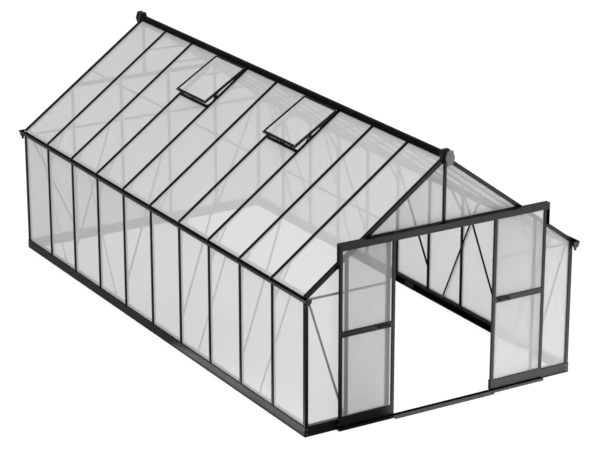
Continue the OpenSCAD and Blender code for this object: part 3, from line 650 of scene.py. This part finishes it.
# %% Bolts of the braces
BRACE_SKIN = BAR_D + INSET + 0.003
BRACE_TOP_Z, BRACE_FOOT_Z = EAVE_BEAM_Z + 0.022, BASE_H + 0.011
BRACED_BAYS = (0.5, 2.5)
BESIDE_BAR, POST_STEM, RAFTER_STEM = 0.010, 0.0365, -0.0345
# how far a knee brace starts below the eave, and how far in from the wall it ends
SHORT_KNEE, LONG_KNEE = (0.238, 0.235), (1.044, 0.486)
COLLAR_X = 0.262


def brace_bolts():
    bm = bmesh.new()
    for side in SIDES:
        for end in SIDES:
            for bay in BRACED_BAYS:
                top, foot = HALF_L - bay * BAY, HALF_L - (bay + 1) * BAY
                for y, z in ((top, BRACE_TOP_Z), (foot, BRACE_FOOT_Z)):
                    at = Vector((side * (HALF_W - BRACE_SKIN), end * y, z))
                    bolt(bm, at, (-side, 0, 0))
        for count, y in enumerate(bar_ys):
            below, run = LONG_KNEE if count % 2 else SHORT_KNEE
            y += BESIDE_BAR
            bolt(bm, Vector((side * (HALF_W - POST_STEM), y, EAVE_Z - below)), Y)
            for along in (run, HALF_W - COLLAR_X):
                bolt(bm, roof_point(side, y, along / math.cos(SLOPE), RAFTER_STEM), Y)
    make_piece("brace_bolts", bm, steel)


brace_bolts()


# %% Bolts and screws of the gables and base
TIE_END = 0.06
FRONT_TIES, FRONT_FOOT = (1.085, 0.635), 1.092
BACK_FOOT = 0.937
CORNER_SCREW_IN, CORNER_SCREW_ZS, CORNER_SCREW_R = 0.024, (0.028, 0.074), 0.0035


def gable_bolts():
    bm = bmesh.new()
    tie_low, tie_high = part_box("tie_bars")
    tie_z = (tie_low.z + tie_high.z) / 2
    for end, ties, foot in ((-1, FRONT_TIES, FRONT_FOOT), (1, BACK_STUDS, BACK_FOOT)):
        y = end * (HALF_L - BRACE_SKIN)
        spots = [(x, tie_z) for x in (HALF_W - TIE_END, *ties)] + [(foot, BRACE_FOOT_Z)]
        for side in SIDES:
            for x, z in spots:
                bolt(bm, Vector((side * x, y, z)), (0, -end, 0))
    make_piece("gable_bolts", bm, steel)


def base_screws():
    bm = bmesh.new()
    for side, end in CORNERS:
        for z in CORNER_SCREW_ZS:
            x, y = side * HALF_W, end * HALF_L
            in_x, in_y = x - side * CORNER_SCREW_IN, y - end * CORNER_SCREW_IN
            screw(bm, Vector((in_x, y, z)), (0, end, 0), CORNER_SCREW_R)
            screw(bm, Vector((x, in_y, z)), (side, 0, 0), CORNER_SCREW_R)
    make_piece("base_screws", bm, steel)


gable_bolts()
base_screws()

# %% [markdown]
# ## Plates inside the frame
# Where a post meets a rafter, a bent plate joins the two, and angle cleats hold the corners of
# the base. They are cut from sheet. A cube could be edited into each, but an outline pushed
# through its thickness is shorter and gives the clipped corners at once.


# %% Eave plates and base cleats
PLATE_T, PLATE_IN = 0.003, 0.025
# across and up from where the inside of the post meets the eave
EAVE_PLATE = [(0.0, -0.20), (0.0, -0.08), (-0.075, 0.024), (-0.105, 0.045), (-0.105, 0.02),
              (-0.025, -0.09), (-0.025, -0.20)]
CLEAT, CLEAT_H, CLEAT_IN, CLEAT_Z = 0.07, 0.064, 0.06, 0.018


def eave_plates():
    bm = bmesh.new()
    for side in SIDES:
        corners = [(HALF_W - PLATE_IN + u, EAVE_Z + v) for u, v in EAVE_PLATE]
        for y in bar_ys:
            place = placing(Vector((0, y - BESIDE_BAR, 0)), Vector((side, 0, 0)), Z, Y)
            prism(bm, corners, place, PLATE_T)
    make_piece("eave_plates", bm, black_coat, bevel=0.0006)


def base_cleats():
    bm = bmesh.new()
    angle = [(0, 0), (CLEAT, 0), (CLEAT, PLATE_T), (PLATE_T, PLATE_T), (PLATE_T, CLEAT),
             (0, CLEAT)]
    for side, end in CORNERS:
        at = Vector((side * (HALF_W - CLEAT_IN), end * (HALF_L - CLEAT_IN), CLEAT_Z))
        place = placing(at, -side * X, -end * Y, Z)
        prism(bm, angle, place, CLEAT_H)
    make_piece("base_cleats", bm, black_coat)


eave_plates()
base_cleats()


# %% Splices of the base
SPLICE_L, SPLICE_H, SPLICE_T, SPLICE_Z = 0.16, 0.056, 0.0025, 0.05
SPLICE_BAYS = (4.5, 5.5)
SPLICE_BOLTS = [(off, z) for off in (-0.055, 0.055) for z in (0.036, 0.064)]


def base_splices():
    bolts, plates = bmesh.new(), bmesh.new()
    outline = block(SPLICE_L, SPLICE_H, corner=0.006)
    for side in SIDES:
        inner = side * (HALF_W - CLEAT_IN - 0.0005)
        face = inner - side * SPLICE_T
        inward = Vector((-side, 0, 0))
        for y in [-HALF_L + bay * BAY for bay in SPLICE_BAYS]:
            place = placing(Vector((inner, y, SPLICE_Z)), Y, Z, inward)
            prism(plates, outline, place, SPLICE_T)
            for off, z in SPLICE_BOLTS:
                bolt(bolts, Vector((face, y + off, z)), inward, 0.008)
    make_piece("base_splices", plates, black_coat, bevel=0.0008)
    make_piece("splice_bolts", bolts, dark_plastic)


base_splices()

# %% [markdown]
# ## Ridge end caps
# A chunky moulding closes each end of the ridge: a face plate, a narrow neck, a collar that
# grips the rafters and a sleeve that laps over the hood. One block could be carved with
# booleans, but those leave ragged faces. Stacking six-sided slices gives the stepped side that
# catches the light, and a bevel rounds its edges like a real moulding. The face plate is a
# piece of its own in a lighter, glossier plastic and the rest in a darker, duller one: painted
# light on the face that meets the light, and painted shade on the collar and sleeve behind it.

# %% Ridge end caps
cap_low, cap_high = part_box("ridge_caps")
CAP_HALF_W, CAP_HALF_H = (cap_high.x - cap_low.x) / 2, (cap_high.z - cap_low.z) / 2
CAP_TIP, HOOD_TOP, HOOD_SIDE = 0.58, 0.55, 0.45
FACE_T, SLEEVE_L, SLEEVE_T, SLEEVE_DROP = 0.010, 0.040, 0.003, 0.022
COLLAR_SLICES = ((0.010, 0.050, -0.011), (0.050, 0.056, -0.003), (0.056, 0.104, -0.001))
FIN_START, FIN_L = 0.058, 0.046


def cap_outline(grow):
    middle = (cap_low.z + cap_high.z) / 2
    w, h = CAP_HALF_W + grow, CAP_HALF_H + grow
    tip = w * CAP_TIP
    points = [(tip, -h), (w, 0), (tip, h), (-tip, h), (-w, 0), (-tip, -h)]
    return [(u, v + middle) for u, v in points]


def sleeve_outline(grow):
    half, flat = HOOD_W / 2 + grow, HOOD_W / 2 * HOOD_TOP
    low, top = RIDGE_Z - SLEEVE_DROP, RIDGE_Z + HOOD_H + grow
    side = RIDGE_Z + HOOD_H * HOOD_SIDE
    return [(half, low), (half, side), (flat, top), (-flat, top), (-half, side), (-half, low)]


def ridge_cap_mouldings():
    faces, collars = bmesh.new(), bmesh.new()
    for end in SIDES:
        face = end * cap_high.y
        place = placing(Vector((0, face, 0)), X, Z, Vector((0, -end, 0)))
        prism(faces, cap_outline(0.0), place, FACE_T)
        for start, stop, grow in COLLAR_SLICES:
            prism(collars, cap_outline(grow), place, stop - start, start)
        prism(collars, sleeve_outline(SLEEVE_T), place, SLEEVE_L, COLLAR_SLICES[-1][1])
        root, crest = cap_high.z - 0.004, cap_high.z - 0.0005
        fin = [(0.012, root), (0.030, root), (0.026, crest), (0.016, crest)]
        prism(collars, fin, place, FIN_L, FIN_START)
    # painted light and shade: the face plates take the lighter plastic, the collars and sleeves
    # the darker one
    piece = make_piece("ridge_cap_mouldings", faces, black_plastic, bevel=0.0018)
    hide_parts("ridge_caps")
    make_piece("ridge_cap_collars", collars, dark_plastic, bevel=0.0010)


ridge_cap_mouldings()

# %% [markdown]
# ## Roof windows
# Each sash hangs from the ridge hood and stands a little open. A rubber seal runs round its
# underside, a drilled stay holds its foot above the sill, and a thin link on each side keeps
# it from twisting. The hardware could be made flat and turned with the sash as its parent. Here
# every point on the sash is worked out closed and then turned about the hinge, so the pieces
# need no parent and their meshes lie where they show.

# %% Points of a sash
WINDOW_OPEN = math.radians(4.5)
SASH_T, SASH_LAP, SASH_BAR, SASH_CLEAR = 0.016, 0.008, 0.026, 0.002
SASH_HALF = BAY / 2 + SASH_LAP
HINGE_OUT = SASH_T / 2 + SASH_CLEAR
OPEN_SLOPE = SLOPE - WINDOW_OPEN
windows = [(side, -HALF_L + (k + 0.5) * BAY) for side in SIDES for k in WINDOW_BAYS]


def sash_place(side, y, down, out):
    lift = out - HINGE_OUT
    up = HINGE_UP - down * math.cos(WINDOW_OPEN) + lift * math.sin(WINDOW_OPEN)
    off = HINGE_OUT + down * math.sin(WINDOW_OPEN) + lift * math.cos(WINDOW_OPEN)
    rise = Vector((-side * math.cos(OPEN_SLOPE), 0, math.sin(OPEN_SLOPE)))
    away = Vector((side * math.sin(OPEN_SLOPE), 0, math.cos(OPEN_SLOPE)))
    return placing(roof_point(side, y, up, off), Y, away, rise)


print("middles of the windows:", [(side, round(y, 2)) for side, y in windows])


# %% Window seals, hinges and corner screws
SEAL_W, SEAL_H, BEAD = 0.006, 0.004, 0.003
HINGE_OFF, HINGE_L, HINGE_R = 0.24, 0.04, 0.0055


def window_seals():
    bm = bmesh.new()
    low = SASH_CLEAR - 0.0002
    pane_half, pane_l = SASH_HALF - SASH_BAR, SASH_L - 2 * SASH_BAR
    for side, y in windows:
        foot = sash_place(side, y, SASH_L, low)
        glass = sash_place(side, y, SASH_L - SASH_BAR, SASH_CLEAR + SASH_T / 2 + PANE_HALF_T)
        for edge in SIDES:
            strip = block(SEAL_W, SEAL_H, (edge * (SASH_HALF - SEAL_W), -SEAL_H / 2))
            prism(bm, strip, foot, SASH_L)
            bead = [(edge * pane_half, 0), (edge * (pane_half - BEAD), 0),
                    (edge * pane_half, 0.0035)]
            prism(bm, bead, glass, pane_l)
        across = block(2 * (SASH_HALF - 1.5 * SEAL_W), SEAL_H, (0, -SEAL_H / 2))
        prism(bm, across, foot, SEAL_W, SEAL_W / 2)
    make_piece("window_seals", bm, rubber)


def window_hinges():
    bm, screws = bmesh.new(), bmesh.new()
    corner = SASH_BAR / 2
    for side, y in windows:
        for edge in SIDES:
            knuckle = sash_place(side, y + edge * HINGE_OFF, 0.0, HINGE_OUT).translation
            barrel = [(0, 0), (HINGE_R, 0), (HINGE_R, HINGE_L), (0, HINGE_L)]
            turned(bm, barrel, facing(knuckle - Y * HINGE_L / 2, Y), 12)
            for down in (corner, SASH_L - corner):
                place = sash_place(side, y + edge * (SASH_HALF - corner), down,
                                   SASH_CLEAR + SASH_T)
                screw(screws, place.translation, place.col[1].xyz, 0.0042)
    make_piece("window_hinges", bm, black_coat)
    make_piece("window_screws", screws, steel)


window_seals()
window_hinges()


# %% Drilled stays and side links
def drilled_link(bm, place, width, length, hole, thick, centre):
    outer = [(u, v + centre) for u, v in block(width, length, corner=width * 0.18)]
    order = outer[1:] + outer[:1]
    turns = [math.atan2(v - centre, u) for u, v in order]
    inner = [(hole * math.cos(t), hole * math.sin(t) + centre) for t in turns]
    rings = [[bm.verts.new(place @ Vector((u, v, w))) for u, v in ring]
             for ring, w in ((order, 0), (order, thick), (inner, thick), (inner, 0))]
    bridge_rings(bm, rings + rings[:1])


STAY_W, STAY_HOLES, HOLE_R, STAY_T, STAY_IN = 0.014, 6, 0.0032, 0.003, 0.010
STAY_FOOT_W, STAY_FOOT_L = 0.034, 0.016
BRACKET_T, BRACKET_H, BRACKET_OFF = 0.002, 0.022, 0.0095
PEG_R, PEG_L, JOINT_R, JOINT_L = 0.003, 0.018, 0.0035, 0.007
LINK_T, LINK_W, LINK_IN, LINK_UP, LINK_LOW = 0.003, 0.012, 0.004, 0.66, 0.24


def pin(bm, at, radius, length):
    turned(bm, [(0, 0), (radius, 0), (radius, length), (0, length)], facing(at, Y), 10)


def drilled_stays():
    bm, pins = bmesh.new(), bmesh.new()
    for side, y in windows:
        foot = sash_place(side, y, SASH_L - STAY_IN, SASH_CLEAR)
        place = placing(foot.translation, Y, foot.col[1].xyz, foot.col[2].xyz)
        for hole in range(STAY_HOLES):
            drilled_link(bm, place, STAY_W, STAY_W + 0.0001, HOLE_R, STAY_T,
                         -STAY_W * (hole + 0.5))
        stay_foot = block(STAY_FOOT_W, STAY_T, (0, -STAY_T / 2))
        prism(bm, stay_foot, place, STAY_FOOT_L, -0.006)
        pin(pins, roof_point(side, y - PEG_L / 2, SILL_UP + 0.020, 0.006), PEG_R, PEG_L)
        bracket = roof_place(side, y, SILL_UP + 0.012)
        for edge in SIDES:
            cheek = block(BRACKET_T, BRACKET_H, (edge * BRACKET_OFF, 0.004))
            prism(bm, cheek, bracket, STAY_FOOT_L)
            across = y + edge * (BAY / 2 - LINK_IN)
            upper = sash_place(side, across, SASH_L * LINK_UP, SASH_CLEAR).translation
            lower = roof_point(side, across, SILL_UP + SASH_L * LINK_LOW, -0.002)
            swept(bm, [lower, upper], block(LINK_T, LINK_W), Y)
            for at in (lower, upper):
                pin(pins, at - Y * JOINT_L / 2, JOINT_R, JOINT_L)
    piece = make_piece("drilled_stays", bm, black_coat)
    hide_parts("window_stays")
    make_piece("stay_pins", pins, steel)


drilled_stays()

# %% [markdown]
# ## Gutter ends and lip
# The trough runs on past each gable into a moulded end. A hopper under it narrows from the
# width of the trough to a round outlet, ribbed so that a hose grips it. A cone joined to a box
# would show a seam. The hopper is a loft instead: rings of the same number of points that
# change from a rectangle to a circle on the way down, and then up again inside the outlet.

# %% Sizes of the gutter
GUTTER_REACH, GUTTER_OVER, GUTTER_T = 0.038, 0.060, 0.0025
LIP_Z, FLOOR_Z = EAVE_Z - 0.008, EAVE_Z - 0.062
BACK_Z = LIP_Z - 0.016
FLOOR_EDGE, BEND = -0.005, (-0.024, FLOOR_Z + 0.021)
print("gutter floor at", round(FLOOR_Z, 3), "and lip at", round(LIP_Z, 3))


def gutter_side(side, end):
    return placing(Vector((side * HALF_W, end * HALF_L, 0)), Vector((-side, 0, 0)), Z,
                   Vector((0, end, 0)))


# %% Hopper with its outlet
OUTLET_OUT, TUBE_TOP = 0.002, FLOOR_Z - 0.020
TUBE_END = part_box("gutter_ends")[0].z
RIB, GROOVE, BORE = 0.028, 0.0265, 0.0272 * 0.82
HOPPER = [(0.044, 0.052, FLOOR_Z + 0.002, 5.0), (0.042, 0.050, FLOOR_Z - 0.004, 4.0),
          (0.034, 0.038, FLOOR_Z - 0.014, 2.8), (RIB, RIB, TUBE_TOP, 2.0)]
TUBE = [(RIB, TUBE_TOP - 0.003), (GROOVE, TUBE_TOP - 0.004), (GROOVE, TUBE_TOP - 0.008),
        (RIB, TUBE_TOP - 0.009), (RIB, TUBE_TOP - 0.012), (GROOVE, TUBE_TOP - 0.013),
        (GROOVE, TUBE_END + 0.006), (RIB, TUBE_END + 0.005), (0.0272, TUBE_END),
        (BORE, TUBE_END), (BORE, TUBE_END + 0.03)]


def rounded_ring(width, depth, power, sides=24):
    points = []
    for i in range(sides):
        turn = 2 * math.pi * i / sides
        c, s = math.cos(turn), math.sin(turn)
        stretch = (abs(c) ** power + abs(s) ** power) ** (-1 / power)
        points.append((width / 2 * c * stretch, depth / 2 * s * stretch))
    return points


def hopper(bm, side, end):
    x, y = side * (HALF_W + OUTLET_OUT), end * (HALF_L + GUTTER_OVER / 2)
    rings = []
    for width, depth, z, power in HOPPER + [(size, size, z, 2.0) for size, z in TUBE]:
        ring = rounded_ring(width, depth, power)
        rings.append([bm.verts.new((x + u, y + v, z)) for u, v in ring])
    loft(bm, rings)


# %% Moulded gutter ends
END_T, END_SCREWS = 0.003, (-0.006, 0.022)


def gutter_mouldings():
    bm, screws = bmesh.new(), bmesh.new()
    wall, lining = INSET, INSET - GUTTER_T
    shell = [(wall, BACK_Z), (wall, FLOOR_Z), (FLOOR_EDGE, FLOOR_Z), BEND,
             (-GUTTER_REACH, LIP_Z), (-GUTTER_REACH + GUTTER_T, LIP_Z),
             (BEND[0] + GUTTER_T, BEND[1] + 0.001), (FLOOR_EDGE + 0.001, FLOOR_Z + GUTTER_T),
             (lining, FLOOR_Z + GUTTER_T), (lining, BACK_Z)]
    cap = [(GUTTER_REACH, LIP_Z), (GUTTER_REACH, FLOOR_Z + 0.020), (0.012, FLOOR_Z - 0.004),
           (FLOOR_EDGE - 0.012, FLOOR_Z - 0.004), (BEND[0] - 0.001, BEND[1] - 0.001),
           (-GUTTER_REACH, LIP_Z)]
    shoulder = [(wall, BACK_Z), (wall, FLOOR_Z), (0.030, FLOOR_Z + 0.018), (0.030, BACK_Z)]
    for side, end in CORNERS:
        place = gutter_side(side, end)
        prism(bm, shell, place, GUTTER_OVER)
        prism(bm, cap, place, END_T, GUTTER_OVER - END_T)
        prism(bm, shoulder, place, END_T, wall)
        hopper(bm, side, end)
        for u in END_SCREWS:
            at = place @ Vector((u, FLOOR_Z + 0.034, GUTTER_OVER - 0.0005))
            screw(screws, at, (0, end, 0), CORNER_SCREW_R)
    piece = make_piece("gutter_end_mouldings", bm, dark_plastic, bevel=0.0006)
    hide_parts("gutter_ends")
    make_piece("gutter_screws", screws, black_coat)


gutter_mouldings()


# %% Rolled lip and straps
ROLL_R, STRAP_W, STRAP_T = 0.0021, 0.016, 0.0015


def gutter_lips():
    bm = bmesh.new()
    back, hook, foot = 0.004, -GUTTER_REACH + 0.003, LIP_Z - 0.018
    strap = [(back, LIP_Z - 0.004), (back, foot), (back - STRAP_T, foot),
             (back - STRAP_T, LIP_Z - 0.004 - STRAP_T), (hook, LIP_Z - STRAP_T), (hook, LIP_Z)]
    for side in SIDES:
        x = side * (HALF_W + GUTTER_REACH - 0.0022)
        run = [Vector((x, end * (HALF_L + 0.002), LIP_Z - 0.001)) for end in SIDES]
        swept(bm, run, circle(ROLL_R, 10), X)
        for y in bar_ys:
            at = Vector((side * HALF_W, y - STRAP_W / 2, 0))
            prism(bm, strap, placing(at, Vector((-side, 0, 0)), Z, Y), STRAP_W)
    make_piece("gutter_lips", bm, black_coat)


gutter_lips()

# %% [markdown]
# ## Sliding doors
# Each leaf carries its own hardware: an oblong ring handle on the middle rail, rubber beads
# round its two panes, screws where rails meet stiles, and a brush down the edge that meets the
# other leaf. A torus stretched into an oblong would be thick at its ends, so the ring is a
# round section swept round a closed path. All of it rides on the leaf, so it slides with the
# door, and one function makes both leaves.

# %% Sizes of a leaf
STILE, BOTTOM_RAIL, TOP_RAIL = 0.030, 0.090, 0.028
RAIL_LOW, RAIL_HIGH = 0.940, 0.995


def leaf_of(door):
    low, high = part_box(door + "_frame")
    panes = [(low.z + BOTTOM_RAIL, RAIL_LOW), (RAIL_HIGH, high.z - TOP_RAIL)]
    print(door, "panes from and to", [(round(a, 3), round(b, 3)) for a, b in panes])
    return low, high, panes


# %% Door handles
RING_R, RING_H, RING_CORNER, CORNER_STEPS = 0.0048, 0.032, 0.010, 4
FOOT = [(0, 0), (0.009, 0), (0.009, 0.002), (0.007, 0.004), (0, 0.004)]


def oblong(middle, half, rise, corner):
    points = []
    for quarter, (u, v) in enumerate(((1, 1), (-1, 1), (-1, -1), (1, -1))):
        centre = middle + X * u * (half - corner) + Z * v * (rise - corner)
        for step in range(CORNER_STEPS + 1):
            turn = math.radians(90 * (quarter + step / CORNER_STEPS))
            points.append(centre + corner * (X * math.cos(turn) + Z * math.sin(turn)))
    return points


def handle(door):
    low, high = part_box(door + "_handle")
    bm = bmesh.new()
    front = (low + high) / 2
    front.y = low.y + RING_R
    half = (high.x - low.x) / 2 - RING_R
    path = oblong(front, half, RING_H / 2 - RING_R, RING_CORNER)
    swept(bm, path, circle(RING_R, 12), Y, closed=True)
    for side in SIDES:
        tip = front + X * side * half
        root = Vector((tip.x, high.y, tip.z))
        swept(bm, [root, tip], circle(RING_R * 0.9, 12), X)
        turned(bm, FOOT, facing(root, -Y), 20)
    piece = make_piece(door + "_ring_handle", bm, handle_black, door)
    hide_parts(door + "_handle")


for door in ("left_door", "right_door"):
    handle(door)


# %% Seals, brushes and screws of the leaves
LEAF_SCREW, OUTER_IN, MIDDLE_IN = 0.0034, 0.020, 0.016
LEAF_BEAD = [(0, 0), (0.0035, 0), (0, 0.0049)]
BRUSH = [(0, -0.004), (0.0015, -0.003), (0.0015, 0.003), (0, 0.004)]


def pane_beads(bm, low, high, panes):
    mid = (low.y + high.y) / 2
    left, right = low.x + STILE, high.x - STILE
    for face in SIDES:
        at, out = mid + face * PANE_HALF_T, Vector((0, face, 0))
        for z0, z1 in panes:
            for x, inward in ((left, X), (right, -X)):
                prism(bm, LEAF_BEAD, placing(Vector((x, at, z0)), inward, out, Z), z1 - z0)
            for z, inward in ((z0, Z), (z1, -Z)):
                place = placing(Vector((left, at, z)), inward, out, X)
                prism(bm, LEAF_BEAD, place, right - left)


def leaf_hardware(door, meeting):
    low, high, panes = leaf_of(door)
    mid = (low.y + high.y) / 2
    beads, screws, pile = bmesh.new(), bmesh.new(), bmesh.new()
    pane_beads(beads, low, high, panes)
    heights = (low.z + OUTER_IN, low.z + BOTTOM_RAIL - OUTER_IN, RAIL_LOW + MIDDLE_IN,
               RAIL_HIGH - MIDDLE_IN, high.z - TOP_RAIL / 2)
    for x, turn in ((low.x, -1), (high.x, 1)):
        for z in heights:
            screw(screws, Vector((x, mid, z)), (turn, 0, 0), LEAF_SCREW)
    edge = high.x if meeting > 0 else low.x
    place = placing(Vector((edge, mid, low.z)), Vector((meeting, 0, 0)), Y, Z)
    prism(pile, BRUSH, place, high.z - low.z)
    make_piece(door + "_pane_beads", beads, rubber, door)
    make_piece(door + "_screws", screws, steel, door)
    make_piece(door + "_brush", pile, brush, door)


leaf_hardware("left_door", 1)
leaf_hardware("right_door", -1)

# %% [markdown]
# ## Guide and threshold
# The doors' bottom guide gets a plastic plug in each end, and the threshold a few low ribs that
# keep a boot from slipping. A bump in its finish would not catch the light along an edge, so
# the ribs are prisms laid on the slope between its two edges.


# %% Guide ends and threshold ribs
PLUG_T, PLUG_IN, PLUG_BACK_H, PLUG_TOP = 0.0025, 0.001, 0.012, 0.004
RIB_OUTLINE = [(-0.0015, -0.0004), (0.0015, -0.0004), (0.001, 0.0010), (-0.001, 0.0010)]
RIB_SHARES = (0.14, 0.32, 0.5, 0.68, 0.86)
RIB_IN = 0.004


def guide_plugs():
    bm = bmesh.new()
    low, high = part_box("door_guide")
    back = high.y - PLUG_IN
    outline = [(low.y, 0), (back, 0), (back, PLUG_BACK_H), (low.y + PLUG_TOP, high.z),
               (low.y, high.z)]
    for x, turn in ((low.x, -1), (high.x, 1)):
        place = placing(Vector((x, 0, 0)), Y, Z, Vector((turn, 0, 0)))
        prism(bm, outline, place, PLUG_T)
    make_piece("guide_plugs", bm, black_plastic, bevel=0.0006)


def threshold_ribs():
    bm = bmesh.new()
    low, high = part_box("threshold_ramp")
    top = Vector((low.x + RIB_IN, high.y - 0.002, high.z))
    foot = Vector((low.x + RIB_IN, low.y, 0.002))
    fall = (foot - top).normalized()
    out = fall.cross(X)
    for share in RIB_SHARES:
        place = placing(top.lerp(foot, share), fall, out, X)
        prism(bm, RIB_OUTLINE, place, high.x - low.x - 2 * RIB_IN)
    make_piece("threshold_ribs", bm, grey_coat)


guide_plugs()
threshold_ribs()

# %% [markdown]
# ## Studio
# The floor and the backdrop are white to the eye and to mirrors, by what kind of ray asks, so
# that no extra light is needed to make them white. The light on the object comes from an even
# sky and four soft boxes: one before the left corner, one before the right leaf, one high over
# the left slope and a weak one in the house, which lifts the wall seen through the doorway.
# Black bars in a white studio would all look alike. Two bright cards lie on the floor and show
# in gloss only: one runs along the front half of the left wall and tapers off, so that the base
# darkens slowly; the other fans out before the right half of the doors. The bars that mirror
# them turn grey, and the rest stay black.


# %% Floor
def seen_rays(tree):
    path = add(tree, "ShaderNodeLightPath").outputs
    seen = maths(tree, "MAXIMUM", path["Is Camera Ray"], path["Is Glossy Ray"])
    return maths(tree, "MAXIMUM", seen, path["Is Transmission Ray"])


def split_by_ray(tree, unseen, seen, out):
    mix = add(tree, "ShaderNodeMixShader")
    wire(tree, seen_rays(tree), mix.inputs[0])
    wire(tree, unseen.outputs[0], mix.inputs[1])
    wire(tree, seen.outputs[0], mix.inputs[2])
    wire(tree, mix.outputs[0], out.inputs["Surface"])


FLOOR_HALF, FLOOR_DOWN = 60.0, -0.002
FLOOR_GLOW, PAINT, SHADED = 0.86, 0.8, 0.25


def stage_sheet(name, corners, z):
    mesh = bpy.data.meshes.new(name)
    mesh.from_pydata([(x, y, z) for x, y in corners], [], [(0, 1, 2, 3)])
    obj = bpy.data.objects.new(name, mesh)
    scene.collection.objects.link(obj)
    material = bpy.data.materials.new(name)
    material.use_nodes = True
    material.node_tree.nodes.clear()
    mesh.materials.append(material)
    return obj, material.node_tree


def stage_floor():
    half = FLOOR_HALF
    corners = [(-half, -half), (half, -half), (half, half), (-half, half)]
    tree = stage_sheet("floor", corners, FLOOR_DOWN)[1]
    out = add(tree, "ShaderNodeOutputMaterial")
    paint = add(tree, "ShaderNodeBsdfDiffuse", Color=(PAINT, PAINT, PAINT, 1.0))
    glow = add(tree, "ShaderNodeEmission", Strength=FLOOR_GLOW)
    soft = add(tree, "ShaderNodeBsdfDiffuse", Color=(SHADED, SHADED, SHADED, 1.0))
    both = add(tree, "ShaderNodeAddShader")
    wire(tree, glow.outputs[0], both.inputs[0])
    wire(tree, soft.outputs[0], both.inputs[1])
    split_by_ray(tree, paint, both, out)


# %% Sky and soft boxes
SKY, SEEN_SKY = 0.72, 1.0
CARD_UP = 0.001


def studio_world():
    world = bpy.data.worlds.new("studio")
    scene.world = world
    world.use_nodes = True
    tree = world.node_tree
    tree.nodes.clear()
    out = add(tree, "ShaderNodeOutputWorld")
    white = (1.0, 1.0, 1.0, 1.0)
    seen_sky = add(tree, "ShaderNodeBackground", Color=white, Strength=SEEN_SKY)
    soft_sky = add(tree, "ShaderNodeBackground", Color=white, Strength=SKY)
    split_by_ray(tree, soft_sky, seen_sky, out)


def soft_box(name, at, aim, width, height, watts):
    data = bpy.data.lights.new(name, "AREA")
    data.shape = "RECTANGLE"
    data.size, data.size_y = width, height
    data.energy = watts
    obj = bpy.data.objects.new(name, data)
    scene.collection.objects.link(obj)
    obj.location = at
    obj.rotation_euler = (Vector(aim) - Vector(at)).to_track_quat("-Z", "Y").to_euler()
    obj.visible_camera = False


def floor_card(name, corners, strength):
    card, tree = stage_sheet(name, corners, CARD_UP)
    out = add(tree, "ShaderNodeOutputMaterial")
    glow = add(tree, "ShaderNodeEmission", Strength=strength)
    wire(tree, glow.outputs[0], out.inputs["Surface"])
    card.visible_camera = card.visible_diffuse = card.visible_shadow = False
    card.visible_transmission = False


# name, place, aim, width, height, watts
SOFT_BOXES = (
    ("front_box", (-6.0, -8.0, 3.0), (-1.2, -2.8, 0.9), 3.0, 2.0, 16.0),
    ("right_box", (3.4, -5.6, 2.6), (0.9, -3.1, 1.6), 1.6, 1.6, 30.0),
    ("inner_box", (-0.2, -1.4, 0.9), (1.5, -1.4, 0.7), 2.2, 1.2, 3.0),
    ("roof_box", (-6.5, -4.0, 6.5), (-0.8, -1.0, 1.9), 2.5, 2.5, 90.0),
)
LEFT_CARD = [(-1.82, -3.0), (-1.57, -3.0), (-1.57, -0.3), (-1.82, -1.9)]
RIGHT_CARD = [(-0.62, -3.12), (2.6, -3.12), (7.6, -10.6), (3.88, -10.6)]

stage_floor()
studio_world()
for values in SOFT_BOXES:
    soft_box(*values)
floor_card("left_card", LEFT_CARD, 5.9)
floor_card("right_card", RIGHT_CARD, 16.5)
scene.view_settings.view_transform = "Standard"
scene.cycles.transparent_max_bounces = 32
scene.cycles.max_bounces = 8
